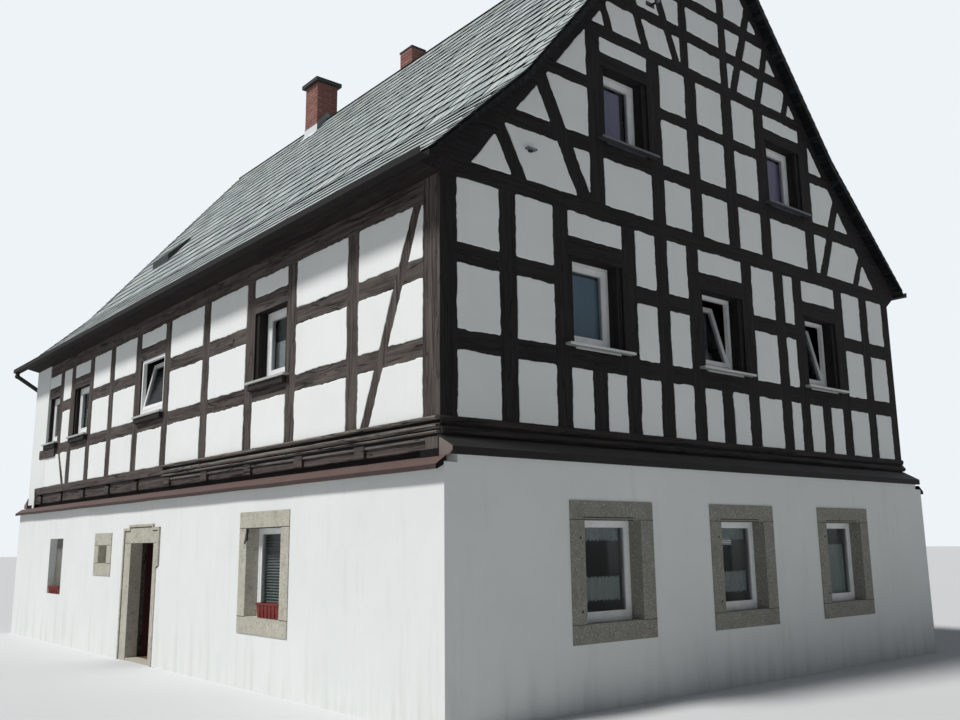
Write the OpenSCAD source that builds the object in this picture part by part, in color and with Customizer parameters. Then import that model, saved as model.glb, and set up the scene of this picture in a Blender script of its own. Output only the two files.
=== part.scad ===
// Half-timbered house: plastered stone ground floor, timber-framed storey and gable, slated roof.
// Millimetres. X runs along the gable face, Y from the front gable to the back, Z up from the ground.

/* [Plan] */
// width of the timber storey over the gable face
timber_width = 9570; // [9500:10:9640]
// length of the timber storey along the eaves
timber_length = 14850; // [14800:10:14950]
// how far the stone walls stand out in front of the gable frame
front_wall_step = 210; // [190:5:225]
// how far the stone walls stand out in front of the eaves frame
side_wall_step = 110; // [95:5:125]
// thickness of the stone walls
stone_wall = 500; // [460:10:560]

/* [Heights] */
// top of the moulded sill beams above the ground
sill_top = 3040; // [3000:10:3080]
// from the sill's top to the underside of the gable plate
storey_height = 2605; // [2590:5:2640]
// thickness of the upper floor
floor_thickness = 200; // [160:10:200]

/* [Timber] */
// depth of posts and rails from the face inwards
timber_depth = 190; // [180:5:200]
// face width of a post in the frame
post_width = 260; // [230:10:280]
// how far the plaster panels lie behind the timber face
panel_recess = 12; // [8:1:20]
// thickness of a plaster panel
panel_thickness = 130; // [110:5:150]

/* [Door] */
// clear width between the door's stone jambs
door_width = 975; // [900:5:1000]
// clear height from the threshold to the lintel
door_height = 1793; // [1750:1:1800]
// thickness of the door leaf
leaf_thickness = 50; // [40:1:55]

/* [Ground windows] */
// clear width between the stone jambs of a front window
front_window_width = 925; // [860:5:960]
// clear height between sill stone and lintel
front_window_height = 1110; // [1060:5:1140]

/* [Roof] */
// rise of the main slope for each millimetre of run
roof_pitch = 1.22; // [1.19:0.01:1.25]
// rise of the kicked foot of the slope for each millimetre of run
kick_pitch = 0.95; // [0.93:0.01:0.97]
// line of the main slope above the storey's top, over the eaves frame
slope_foot = 82; // [70:1:95]
// how far the slates reach beyond the eaves frame
eaves_overhang = 315; // [300:5:330]
// how far the roof reaches beyond the front gable frame
front_verge = 260; // [255:1:275]
// how far the right slope reaches beyond the front gable frame
right_verge = 150; // [120:1:250]
// how far the roof reaches beyond the back gable frame
back_verge = 400; // [370:5:450]
// height of the big chimney above the ridge
stack_rise = 945; // [850:5:1000]

/* [Hidden] */
eps = 1;
seat_gap = 1;
half_width = timber_width / 2;
roof_length = timber_length + front_verge + back_verge;
front_y = front_verge - roof_length / 2;
back_y = front_y + timber_length;

// stone ground floor
front_wall_top = sill_top - 345;
side_wall_drop = 490;
side_wall_top = sill_top - side_wall_drop;
threshold_top = 40;
room_inset_side = stone_wall - side_wall_step;
room_inset_front = stone_wall - front_wall_step;
attic_floor_thickness = 175;

// front and back windows of the ground floor, centres along the gable
front_window_offsets = [-2510, -55, 2405];
front_window_centres = [for (o = front_window_offsets) half_width + o];
front_window_sill = 895;
lintel_height = 205;
sill_stone_height = 205;
jamb_face = 218;
surround_depth = 250;
jamb_splay = 30;
sash_setback = 150;
stone_proud = 12;

// windows of the long walls: near edge, far edge, bottom, top, jamb width
side_window_near = [3053, 3975, 880, 1990];
small_window = [9293, 9720, 1502, 1810];
far_window = [11813, 12653, 902, 1952];
near_jamb = 205;
small_jamb = 215;

// portal, from the front corner of the frame
portal_near = 6930;
door_near = 7163;
door_far = door_near + door_width;
portal_far = door_far + 337;
door_head = threshold_top + door_height;
portal_top = door_head + 239;
crest_near = 7200;
crest_far = 8213;
crest_height = 53;
portal_depth = 180;
door_recess = 90;

// door leaf behind the stone jambs
leaf_overlap = 25;
leaf_gap = 8;
leaf_width = door_width + 2 * leaf_overlap;
knuckle_radius = 8;
knuckle_length = 120;
knuckle_gap = 1;
hinge_inset = 200;
strap_length = 160;
strap_thickness = 4;
hook_radius = 7;
hook_height = 20;
hook_gap = 6;
hook_width = 12;
door_stile = 130;
door_bottom_rail = 210;
door_lock_rail = [820, 980];
field_sink = 14;
field_raise = 8;
field_margin = 45;
handle_height = 1010;
handle_inset = 70;
handle_plate = [40, 6, 200];
handle_grip = [120, 16, 16];
handle_reach = 50;
leaf_clearance = 10;

// gable storey, measured from the left corner
corner_width = 235;
corner_depth = 290;
// clear bays between the posts; they share what the posts leave of the width
gable_bays = [590, 575, 935, 375, 395, 965, 540, 235, 905, 515, 470];
gable_window_bays = [2, 5, 8];
gable_rail_low = [700, 935];
gable_rail_high = [1650, 1880];
gable_head_bottom = 545;
gable_head_top = 305;
gable_head_rail = [storey_height - gable_head_bottom, storey_height - gable_head_top];

// eaves storey, measured from the front corner
eaves_bays = [1255, 1215, 920, 1200, 1250, 1055, 1055, 915, 895, 480, 745];
eaves_window_bays = [2, 5, 8, 10];
eaves_plate_depth = 258;
eaves_plate_bottom = storey_height - eaves_plate_depth;
eaves_rail_low = [635, 855];
eaves_rail_high = [1495, 1730];
eaves_head_rail = [eaves_plate_bottom - 472, eaves_plate_bottom - 247];
pier_length = 975;
pier_start = timber_length - pier_length;
skirt_length = 430;
skirt_drop = 435;
skirt_thickness = 20;
// long brace of the first eaves bay: foot set back from the post, head set in from the corner, width
near_brace = [60, 2, 180];
// short brace under the last post: near and far edge of its foot from the bay's start, and of its head from the
// bay's end
far_brace_foot = [95, 250];
far_brace_head = [-30, 115];
far_brace_bay = 9;

// gable field
plate_height = 225;
plate_top = storey_height + plate_height;
stud_width = 270;
upper_stud_width = 190;
// places across the field as shares of the half width, from the centre line
attic_stud_places = [-0.486, -0.241, -0.072, 0.103, 0.271, 0.523];
collar_stud_places = [-0.092, 0.103];
attic_window_studs = [[0, 1], [4, 5]];

// heights above the gable plate
attic_rails = [[615, 835], [1480, 1660]];
attic_window = [835, 1895];
attic_head_rail = [1895, 2082];
collar = [2280, 2470];
upper_rails = [[2855, 3045], [3410, 3605]];
braces_end = 4970;

// leaning braces of the gable field: place of the foot, width, lean for each millimetre of height
low_braces = [[-0.535, 270, -0.51], [0.591, 205, 0.41], [-0.76, 240, -0.55], [0.793, 170, 0.5]];
high_braces = [[-0.419, 170, -0.35], [-0.2675, 180, -0.38], [-0.1306, 180, -0.42],
    [0.1494, 180, 0.33], [0.2769, 170, 0.31], [0.4222, 160, 0.33]];

// windows of the timber storeys
lining_width = 80;
lining_start = 30;
lining_depth = 250;
upper_sill_height = 95;
upper_sill_thickness = 30;
upper_sill_lift = 20;
sill_out = 90;
sill_reach = 95;
frame_setback = 180;
frame_thickness = 60;
frame_member = 50;
sash_step = 8;
sash_thickness = 50;
sash_member = 65;
glass_thickness = 20;
glass_step = 15;
gable_tilts = [0, 15, 13];
eaves_tilts = [0, 12, 0, 0];
gable_setbacks = [180, 180, 180];
eaves_setbacks = [155, 20, 95, 95];
// width of the lining beside each frame
gable_linings = [80, 80, 80];
eaves_linings = [80, 20, 60, 60];
ground_frame = 40;
ground_sash = 42;
ground_sash_bottom = 70;
small_frame = 18;
small_sash = 24;

// roof
covering = 110;
rafter_rise = 278;
kick_run = 1085;
right_kick_run = 1685;
right_kick_pitch = 0.93;
slate_edge = 25;
ridge_half = 50;
ridge_top = round(sill_top + storey_height + slope_foot + roof_pitch * half_width);
cover_under = ridge_top - covering;
rafter_under = cover_under - rafter_rise;
field_foot_z = sill_top + plate_top;
rafter_foot = floor((rafter_under - field_foot_z) / roof_pitch);
rafter_top = cover_under - seat_gap;
rafter_top_foot = floor((rafter_top - field_foot_z) / roof_pitch);
edge_d = half_width + eaves_overhang;
left_foot = [kick_run, kick_pitch];
right_foot = [right_kick_run, right_kick_pitch];
feet = [left_foot, right_foot];
box_out = 262;
box_rises = [60, 190];
ridge_cap_half = 150;
ridge_cap_thickness = 40;
ridge_cap_top = 60;
ridge_cap_flat = 30;

// aprons and moulded sills
front_apron_top = sill_top - 195;
front_lip_top = sill_top - 335;
front_lip_bottom = sill_top - 412;
front_lip = 251;
side_apron_top = sill_top - 428;
side_lip_top = sill_top - 475;
side_lip_drop = 530;
side_lip_bottom = sill_top - side_lip_drop;
side_lip = 140;
apron_back = 60;
apron_end = 30;
corner_reach = front_wall_step + 38;
beam_bottom = sill_top - 345;
beam_top = sill_top - 195;
sill_bottom = sill_top - 150;
beam_end_width = 210;
beam_end_proud = 25;
first_beam = 1475;
beam_spacing = 1392;
filler_setback = 10;
moulding_length = 7200;
plain_band = 30;

// chimneys on the ridge
stack_width = 530;
stack_depth = 550;
stack_start = 10625;
stack_top = ridge_top + stack_rise;
stack_sink = 700;
cap_overhang = 75;
cap_thickness = 90;
small_stack_width = 350;
small_stack_depth = 432;
small_stack_start = 7638;
small_stack_out = 315;
small_stack_rise = 718;
small_cap_overhang = 15;
small_cap_thickness = 40;

// hatch in the left slope, raised at its lower edge; distances from the ridge
hatch_start = 12500;
hatch_length = 900;
hatch_up = 2400;
hatch_down = 2900;
hatch_curb = 61;
hatch_lift = 150;
hatch_lid = 30;

// gutters and rainwater pipes
gutter_width = 130;
gutter_depth = 80;
gutter_wall = 8;
gutter_gap = 5;
gutter_drop = 70;
pipe_radius = 45;
pipe_standoff = 300;
pipe_inset = 150;
pipe_swan = 330;
pipe_neck = 80;
bend_radius = 54;
pipe_bracket = 30;
pipe_bracket_heights = [600, 2200, 4200];

// flower boxes on the window sills: start, length, height
near_box = [3090, 520, 170];
far_box_inset = 25;
box_height = 160;
box_depth = 190;
box_front = 88;

// Placing

module block(a0, a1, d0, d1, z0, z1) {
    translate([a0, d0, z0]) cube([a1 - a0, d1 - d0, z1 - z0]);
}

// a polygon of the wall's face, pushed inwards from depth d0 to d1
module slab(points, d0, d1) {
    translate([0, d1, 0])
        rotate([90, 0, 0])
            linear_extrude(height = d1 - d0)
                polygon(points);
}

// a polygon of the wall's section (depth, height), run along the wall from a0 to a1
module run(points, a0, a1) {
    translate([a0, 0, 0])
        rotate([90, 0, 90])
            linear_extrude(height = a1 - a0)
                polygon(points);
}

module on_front() {
    translate([-half_width, front_y, 0]) children();
}

module on_back() {
    translate([0, front_y + back_y, 0]) mirror([0, 1, 0]) on_front() children();
}

module on_left() {
    translate([-half_width, front_y, 0]) mirror([1, -1, 0]) children();
}

module on_right() {
    mirror([1, 0, 0]) on_left() children();
}

module on_gables() {
    on_front() children();
    on_back() children();
}

module on_eaves() {
    on_left() children();
    on_right() children();
}

module above_sill() {
    translate([0, 0, sill_top]) children();
}

// Ground floor walls

module window_hole(a0, a1, z0, z1, jamb, face) {
    block(a0 - jamb, a1 + jamb, face - eps, face + surround_depth, z0 - sill_stone_height, z1 + lintel_height);
    block(a0 + jamb_splay, a1 - jamb_splay, face, face + stone_wall + eps, z0, z1);
}

module gable_wall_plain() {
    difference() {
        block(-side_wall_step, timber_width + side_wall_step, -front_wall_step, room_inset_front, 0, front_wall_top);
        for (a = [-side_wall_step - eps, timber_width - apron_back])
            block(a, a + side_wall_step + apron_back + eps, -front_wall_step - eps, room_inset_front + eps,
                side_wall_top, front_wall_top + eps);
    }
}

module gable_wall() {
    difference() {
        gable_wall_plain();
        for (c = front_window_centres)
            window_hole(c - front_window_width / 2, c + front_window_width / 2, front_window_sill,
                front_window_sill + front_window_height, jamb_face, -front_wall_step);
    }
}

module side_wall_between(a0, a1) {
    block(a0, a1, -side_wall_step, room_inset_side, 0, side_wall_top);
}

module side_hole(w, jamb) {
    window_hole(w[0], w[1], w[2], w[3], jamb, -side_wall_step);
}

module plain_hole(w) {
    block(w[0], w[1], -side_wall_step - eps, room_inset_side + eps, w[2], w[3]);
}

module front_wall_ground() {
    color("white") on_front() gable_wall();
}

module back_wall_ground() {
    color("white") on_back() gable_wall();
}

module left_wall_near_door() {
    color("white") on_left() difference() {
        side_wall_between(room_inset_front, portal_near);
        side_hole(side_window_near, near_jamb);
    }
}

module left_wall_far_of_door() {
    color("white") on_left() difference() {
        side_wall_between(portal_far, timber_length - room_inset_front);
        side_hole(small_window, small_jamb);
        plain_hole(far_window);
    }
}

module left_wall_over_door() {
    color("white") on_left() difference() {
        block(portal_near, portal_far, -side_wall_step, room_inset_side, portal_top, side_wall_top);
        block(crest_near, crest_far, -side_wall_step - eps, portal_depth - side_wall_step, portal_top - eps,
            portal_top + crest_height);
    }
}

module door_reveals() {
    color("white") on_left() {
        block(portal_near, door_near - door_recess, portal_depth - side_wall_step, room_inset_side, 0, portal_top);
        block(door_far + door_recess, portal_far, portal_depth - side_wall_step, room_inset_side, 0, portal_top);
    }
}

module right_wall_ground() {
    color("white") on_right() difference() {
        side_wall_between(room_inset_front, timber_length - room_inset_front);
        side_hole(side_window_near, near_jamb);
        side_hole(small_window, small_jamb);
        plain_hole(far_window);
    }
}

// Stone surrounds

module window_beds(a0, a1, z0, z1, jamb, face) {
    block(a0 - jamb, a1 + jamb, face - stone_proud, face + surround_depth, z1, z1 + lintel_height);
    block(a0 - jamb, a1 + jamb, face - stone_proud, face + surround_depth, z0 - sill_stone_height, z0);
}

module jamb_stone(z0, z1, jamb) {
    translate([0, 0, z0])
        linear_extrude(height = z1 - z0)
            polygon([[0, -stone_proud], [jamb, -stone_proud], [jamb + jamb_splay, sash_setback],
                [jamb + jamb_splay, surround_depth], [0, surround_depth]]);
}

module window_jambs_at(a0, a1, z0, z1, jamb, face) {
    translate([a0 - jamb, face, 0]) jamb_stone(z0, z1, jamb);
    translate([a1 + jamb, face, 0]) mirror([1, 0, 0]) jamb_stone(z0, z1, jamb);
}

module window_lintels_and_sills() {
    color("dimgray") {
        on_gables() for (c = front_window_centres)
            window_beds(c - front_window_width / 2, c + front_window_width / 2, front_window_sill,
                front_window_sill + front_window_height, jamb_face, -front_wall_step);
        on_eaves() window_beds(side_window_near[0], side_window_near[1], side_window_near[2], side_window_near[3],
            near_jamb, -side_wall_step);
        on_eaves() window_beds(small_window[0], small_window[1], small_window[2], small_window[3], small_jamb,
            -side_wall_step);
    }
}

module window_jambs() {
    color("gray") {
        on_gables() for (c = front_window_centres)
            window_jambs_at(c - front_window_width / 2, c + front_window_width / 2, front_window_sill,
                front_window_sill + front_window_height, jamb_face, -front_wall_step);
        on_eaves() window_jambs_at(side_window_near[0], side_window_near[1], side_window_near[2], side_window_near[3],
            near_jamb, -side_wall_step);
        on_eaves() window_jambs_at(small_window[0], small_window[1], small_window[2], small_window[3], small_jamb,
            -side_wall_step);
    }
}

module door_lintel_and_threshold() {
    color("gray") on_left() {
        block(door_near, door_far, -side_wall_step, portal_depth - side_wall_step, 0, threshold_top);
        slab([[portal_near, door_head], [portal_far, door_head], [portal_far, portal_top], [crest_far, portal_top],
            [crest_far, portal_top + crest_height], [crest_near, portal_top + crest_height],
            [crest_near, portal_top], [portal_near, portal_top]],
            -side_wall_step - stone_proud, portal_depth - side_wall_step);
    }
}

module door_jambs() {
    color("gray") on_left() {
        block(portal_near, door_near, -side_wall_step - stone_proud, portal_depth - side_wall_step, 0, door_head);
        block(door_far, portal_far, -side_wall_step - stone_proud, portal_depth - side_wall_step, 0, door_head);
    }
}

// Floors

module ground_floor() {
    color("sienna") {
        on_left() block(room_inset_front, timber_length - room_inset_front, room_inset_side,
            timber_width - room_inset_side, 0, threshold_top);
    }
}

module door_floor() {
    color("sienna") on_left()
        block(door_near - door_recess, door_far + door_recess, portal_depth - side_wall_step, room_inset_side, 0,
            threshold_top);
}

module floor_slab(z0, z1) {
    difference() {
        block(timber_depth, timber_width - timber_depth, timber_depth, timber_length - timber_depth, z0, z1);
        for (a = [0, timber_width - corner_width])
            block(a, a + corner_width, 0, corner_depth, z0 - eps, z1 + eps);
    }
}

module upper_floor() {
    color("sienna") on_front()
        block(timber_depth, timber_width - timber_depth, timber_depth, timber_length - timber_depth, beam_bottom,
            beam_bottom + floor_thickness);
}

module attic_floor() {
    color("sienna") on_front()
        floor_slab(sill_top + storey_height - attic_floor_thickness, sill_top + storey_height);
}

// Aprons between the stone walls and the frame

module gable_aprons() {
    color("dimgray") on_gables()
        run([[0, front_apron_top], [-front_lip, front_lip_top], [-front_lip, front_lip_bottom],
            [-front_wall_step, front_lip_bottom], [-front_wall_step, front_wall_top], [0, front_wall_top]],
            -apron_end, timber_width + apron_end);
}

module eaves_aprons() {
    color("brown") on_eaves()
        run([[apron_back, side_apron_top], [-side_lip, side_lip_top], [-side_lip, side_lip_bottom],
            [-side_wall_step, side_lip_bottom], [-side_wall_step, side_wall_top], [apron_back, side_wall_top]],
            -corner_reach, timber_length + corner_reach);
}

module bearing_plates() {
    color("black") on_eaves()
        block(room_inset_front, timber_length - room_inset_front, apron_back, room_inset_side, side_wall_top,
            beam_bottom);
}

// Sills and beam ends

module gable_sills() {
    color("saddlebrown") on_gables()
        block(0, timber_width, 0, timber_depth, front_wall_top, sill_top);
}

module eaves_sills() {
    color("saddlebrown") on_eaves()
        block(timber_depth, timber_length - timber_depth, 0, timber_depth, sill_bottom, sill_top);
}

// half-round strip in the section plane, standing out from the face
function roll(z0, z1, out) = [[0, z0], [-out * 0.7, z0 + (z1 - z0) * 0.04], [-out, z0 + (z1 - z0) * 0.3],
    [-out, z0 + (z1 - z0) * 0.7], [-out * 0.7, z1 - (z1 - z0) * 0.04], [0, z1]];

// rolls of the moulded sills: bottom and top below the sill's top, and how far they stand out
gable_rolls = [[82, 0, 30], [188, 112, 60]];
eaves_rolls = [[47, 0, 70], [92, 55, 60], [138, 100, 50]];

module sill_mouldings() {
    color("peru") {
        on_gables() for (r = gable_rolls)
            run(roll(sill_top - r[0], sill_top - r[1], r[2]), 0, timber_width);
        on_eaves() {
            for (r = eaves_rolls)
                run(roll(sill_top - r[0], sill_top - r[1], r[2]), 0, moulding_length);
            block(moulding_length, timber_length - skirt_length, -plain_band, 0, sill_bottom, sill_top);
        }
    }
}

module beam_end_set(back) {
    for (a = [first_beam : beam_spacing : timber_length - skirt_length - beam_end_width])
        block(a - beam_end_width / 2, a + beam_end_width / 2, -beam_end_proud, back, beam_bottom, beam_top);
}

module beam_ends() {
    color("saddlebrown") on_eaves() beam_end_set(timber_depth);
}

module beam_fillers() {
    color("saddlebrown") on_eaves() difference() {
        block(timber_depth, timber_length - timber_depth, filler_setback, timber_depth, beam_bottom, sill_bottom);
        beam_end_set(timber_depth + eps);
    }
}

// Gable storey

function sum_to(list, i) = i < 0 ? 0 : list[i] + sum_to(list, i - 1);
function bay_share(bays, free) = (free - (len(bays) - 1) * post_width) / sum_to(bays, len(bays) - 1);
function bay_starts(bays, corner, free) = [for (i = [0 : len(bays) - 1])
    corner + i * post_width + sum_to(bays, i - 1) * bay_share(bays, free)];
function bay_ends(bays, corner, free) = [for (i = [0 : len(bays) - 1])
    corner + i * post_width + sum_to(bays, i) * bay_share(bays, free)];
gable_free = timber_width - 2 * corner_width;
gable_starts = bay_starts(gable_bays, corner_width, gable_free);
gable_ends = bay_ends(gable_bays, corner_width, gable_free);
eaves_free = pier_start - corner_depth;
eaves_starts = bay_starts(eaves_bays, corner_depth, eaves_free);
eaves_ends = bay_ends(eaves_bays, corner_depth, eaves_free);

module post_row(starts, ends, height, raised) {
    for (i = [1 : len(starts) - 1])
        block(ends[i - 1], starts[i], 0, timber_depth, i == raised ? eaves_rail_low[0] : 0, height);
}

module gable_post_row() {
    above_sill() {
        post_row(gable_starts, gable_ends, storey_height, 0);
        for (i = gable_window_bays) {
            middle = (gable_starts[i] + gable_ends[i]) / 2;
            block(middle - post_width / 2, middle + post_width / 2, 0, timber_depth, 0, gable_rail_low[0]);
        }
    }
}

module corner_post() {
    above_sill() block(0, corner_width, 0, corner_depth, 0, storey_height);
}

module gable_posts_and_studs() {
    color("black") {
        on_gables() {
            gable_post_row();
            intersection() {
                gable_field(0, timber_depth);
                stud_set(0);
            }
        }
        on_front() corner_post();
        on_right() above_sill() {
            block(0, corner_depth, 0, corner_width, 0, storey_height);
        }
    }
}

module gable_rail_set() {
    above_sill() for (i = [0 : len(gable_starts) - 1]) {
        block(gable_starts[i], gable_ends[i], 0, timber_depth, gable_rail_low[0], gable_rail_low[1]);
        if (len(search(i, gable_window_bays)) > 0)
            block(gable_starts[i], gable_ends[i], 0, timber_depth, gable_head_rail[0], gable_head_rail[1]);
        else
            block(gable_starts[i], gable_ends[i], 0, timber_depth, gable_rail_high[0], gable_rail_high[1]);
    }
}

module gable_rails() {
    color("black") on_gables() {
        gable_rail_set();
        attic_rail_pieces();
    }
}

module gable_panels() {
    color("whitesmoke") on_gables() {
        storey_panels();
        attic_panels();
    }
}

module storey_panels() {
    difference() {
        above_sill() block(corner_width, timber_width - corner_width, panel_recess, panel_recess + panel_thickness, 0,
            storey_height);
        gable_post_row();
        gable_rail_set();
        above_sill() for (i = gable_window_bays)
            block(gable_starts[i], gable_ends[i], 0, timber_depth, gable_rail_low[1], gable_head_rail[0]);
    }
}

// Eaves storey

module eaves_post_row() {
    above_sill() post_row(eaves_starts, eaves_ends, eaves_plate_bottom, far_brace_bay + 1);
}

module eaves_brace_set() {
    foot = eaves_ends[0] - near_brace[0];
    head = corner_depth + near_brace[1];
    start = eaves_starts[far_brace_bay];
    end = eaves_ends[far_brace_bay];
    above_sill() {
        slab([[foot - near_brace[2], 0], [foot, 0], [head + near_brace[2], eaves_plate_bottom],
            [head, eaves_plate_bottom]], 0, timber_depth);
        slab([[start + far_brace_foot[0], 0], [start + far_brace_foot[1], 0],
            [end + far_brace_head[1], eaves_rail_low[0]], [end + far_brace_head[0], eaves_rail_low[0]]],
            0, timber_depth);
    }
}

module eaves_rail_set() {
    difference() {
        above_sill() for (i = [0 : len(eaves_starts) - 1]) {
            block(eaves_starts[i], eaves_ends[i], 0, timber_depth, eaves_rail_low[0], eaves_rail_low[1]);
            if (len(search(i, eaves_window_bays)) > 0)
                block(eaves_starts[i], eaves_ends[i], 0, timber_depth, eaves_head_rail[0], eaves_head_rail[1]);
            else
                block(eaves_starts[i], eaves_ends[i], 0, timber_depth, eaves_rail_high[0], eaves_rail_high[1]);
        }
        eaves_brace_set();
    }
}

module eaves_posts_all() {
    color("dimgray") on_eaves() eaves_post_row();
}

module eaves_rails() {
    color("dimgray") on_eaves() eaves_rail_set();
}

module braces() {
    color("dimgray") {
        on_eaves() eaves_brace_set();
        on_gables() difference() {
            intersection() {
                gable_field(0, timber_depth);
                brace_set();
            }
            stud_set(eps);
        }
    }
}

module eaves_panels() {
    color("whitesmoke") on_eaves() difference() {
        above_sill() block(corner_depth, pier_start, panel_recess, panel_recess + panel_thickness, 0,
            eaves_plate_bottom);
        eaves_post_row();
        eaves_rail_set();
        eaves_brace_set();
        above_sill() for (i = eaves_window_bays)
            block(eaves_starts[i], eaves_ends[i], 0, timber_depth, eaves_rail_low[1], eaves_head_rail[0]);
    }
}

module plastered_piers() {
    color("whitesmoke") on_eaves() {
        difference() {
            block(pier_start, timber_length, -skirt_thickness, timber_depth, sill_top, sill_top + storey_height);
            above_sill() for (w = eaves_window_list) sill_board(w);
        }
        block(timber_length - skirt_length, timber_length, -skirt_thickness, 0, sill_top - skirt_drop, sill_top);
    }
}

// Plates

module gable_plates() {
    color("black") on_gables() above_sill()
        block(timber_depth, timber_width - timber_depth, 0, timber_depth, storey_height, plate_top);
}

module eaves_plates() {
    color("black") on_eaves() above_sill()
        block(corner_depth, pier_start, 0, timber_depth, eaves_plate_bottom, storey_height);
}

// Gable field

module leaning(foot, width, lean, z0, z1) {
    slab([[foot - width / 2, z0], [foot + width / 2, z0], [foot + width / 2 + lean * (z1 - z0), z1],
        [foot - width / 2 + lean * (z1 - z0), z1]], 0, timber_depth);
}

// the field inside the rafters, pushed from depth d0 to d1
module gable_field(d0, d1) {
    slab([[half_width - rafter_foot, field_foot_z], [half_width + rafter_foot, field_foot_z],
        [half_width + ridge_half, rafter_under - roof_pitch * ridge_half],
        [half_width - ridge_half, rafter_under - roof_pitch * ridge_half]], d0, d1);
}

module above_plate() {
    translate([0, 0, field_foot_z]) children();
}

function across(place) = round(half_width * (1 + place));

module stud_set(more) {
    above_plate() {
        for (p = attic_stud_places)
            block(across(p) - stud_width / 2, across(p) + stud_width / 2, -more, timber_depth + more, 0, collar[0]);
        for (p = collar_stud_places)
            block(across(p) - upper_stud_width / 2, across(p) + upper_stud_width / 2, -more, timber_depth + more,
                collar[1], braces_end);
    }
}

module brace_set() {
    above_plate() {
        for (b = low_braces)
            leaning(across(b[0]), b[1], b[2], 0, collar[0]);
        for (b = high_braces)
            leaning(across(b[0]), b[1], b[2], collar[1], braces_end);
    }
}

module rail_set() {
    above_plate() for (r = concat(attic_rails, upper_rails, [collar]))
        block(0, timber_width, 0, timber_depth, r[0], r[1]);
}

function attic_bay_start(w) = across(attic_stud_places[w[0]]) + stud_width / 2;
function attic_bay_end(w) = across(attic_stud_places[w[1]]) - stud_width / 2;

module attic_window_bay_set(z0, z1, more) {
    above_plate() for (w = attic_window_studs)
        block(attic_bay_start(w), attic_bay_end(w), -more, timber_depth + more, z0, z1);
}

module attic_rail_pieces() {
    difference() {
        intersection() {
            gable_field(0, timber_depth);
            rail_set();
        }
        stud_set(eps);
        brace_set();
        attic_window_bay_set(attic_window[0], attic_window[1], eps);
    }
    attic_window_bay_set(attic_head_rail[0], attic_head_rail[1], 0);
}

module attic_panels() {
    difference() {
        gable_field(panel_recess, panel_recess + panel_thickness);
        stud_set(eps);
        brace_set();
        rail_set();
        attic_window_bay_set(attic_window[0], attic_head_rail[1], eps);
    }
}

// Windows of the timber storeys, as bays: start, end, bottom, top above the sill, lean of the open sash, how far
// the frame stands back, width of the lining

function bay_window(starts, ends, bays, low, head, tilt, setback, lining, k) =
    [starts[bays[k]], ends[bays[k]], low[1], head[0], tilt, setback, lining];
gable_window_list = [for (k = [0 : 2])
    bay_window(gable_starts, gable_ends, gable_window_bays, gable_rail_low, gable_head_rail, gable_tilts[k],
        gable_setbacks[k], gable_linings[k], k)];
eaves_window_list = [for (k = [0 : 3])
    bay_window(eaves_starts, eaves_ends, eaves_window_bays, eaves_rail_low, eaves_head_rail, eaves_tilts[k],
        eaves_setbacks[k], eaves_linings[k], k)];
attic_window_list = [for (w = attic_window_studs)
    [attic_bay_start(w), attic_bay_end(w), plate_top + attic_window[0], plate_top + attic_window[1], 0,
        frame_setback, lining_width]];

module linings_of(w) {
    block(w[0], w[0] + w[6], lining_start, lining_depth, w[2], w[3]);
    block(w[1] - w[6], w[1], lining_start, lining_depth, w[2], w[3]);
}

module sill_of(w) {
    translate([0, 0, w[2]]) {
        run([[0, 0], [w[5] + frame_thickness, 0], [w[5] + frame_thickness, upper_sill_height],
            [w[5], upper_sill_height], [0, upper_sill_lift + upper_sill_thickness]], w[0] + w[6], w[1] - w[6]);
    }
    sill_board(w);
}

module sill_board(w) {
    block(w[0] - sill_reach, w[1] + sill_reach, -sill_out, 0, w[2] + upper_sill_lift,
        w[2] + upper_sill_lift + upper_sill_thickness);
}

// two uprights of a frame or sash, width by height, standing at the origin
module stiles(width, height, member, thickness) {
    block(0, member, 0, thickness, 0, height);
    block(width - member, width, 0, thickness, 0, height);
}

module rails(width, height, member, bottom, thickness) {
    block(member, width - member, 0, thickness, height - member, height);
    block(member, width - member, 0, thickness, 0, bottom);
}

module pane(width, height, member, bottom) {
    block(member, width - member, glass_step, glass_step + glass_thickness, bottom, height - member);
}

// a fixed frame with one sash in it, which leans in by tilt degrees over its lower back edge
module casement(width, height, member, sash, bottom, tilt, part) {
    inner_width = width - 2 * member;
    inner_height = height - 2 * member;
    if (part == "frame stiles") stiles(width, height, member, frame_thickness);
    if (part == "frame rails") rails(width, height, member, member, frame_thickness);
    translate([member, sash_step + sash_thickness, member]) rotate([-tilt, 0, 0]) translate([0, -sash_thickness, 0]) {
        if (part == "sash stiles") stiles(inner_width, inner_height, sash, sash_thickness);
        if (part == "sash rails") rails(inner_width, inner_height, sash, bottom, sash_thickness);
        if (part == "glass") pane(inner_width, inner_height, sash, bottom);
    }
}

module upper_window(w, part) {
    if (part == "lining") linings_of(w);
    if (part == "sill") sill_of(w);
    translate([w[0] + w[6], w[5], w[2] + upper_sill_height])
        casement(w[1] - w[0] - 2 * w[6], w[3] - w[2] - upper_sill_height, frame_member, sash_member,
            sash_member, w[4], part);
}

function closed(w) = [w[0], w[1], w[2], w[3], 0, w[5], w[6]];

module upper_windows(part) {
    on_front() above_sill() for (w = concat(gable_window_list, attic_window_list)) upper_window(w, part);
    on_back() above_sill() for (w = concat(gable_window_list, attic_window_list)) upper_window(closed(w), part);
    on_left() above_sill() for (w = eaves_window_list) upper_window(w, part);
    on_right() above_sill() for (w = eaves_window_list) upper_window(closed(w), part);
}

module stone_window(a0, a1, z0, z1, face, member, sash, bottom, part) {
    translate([a0, face + sash_setback, z0])
        casement(a1 - a0, z1 - z0, member, sash, bottom, 0, part);
}

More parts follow.
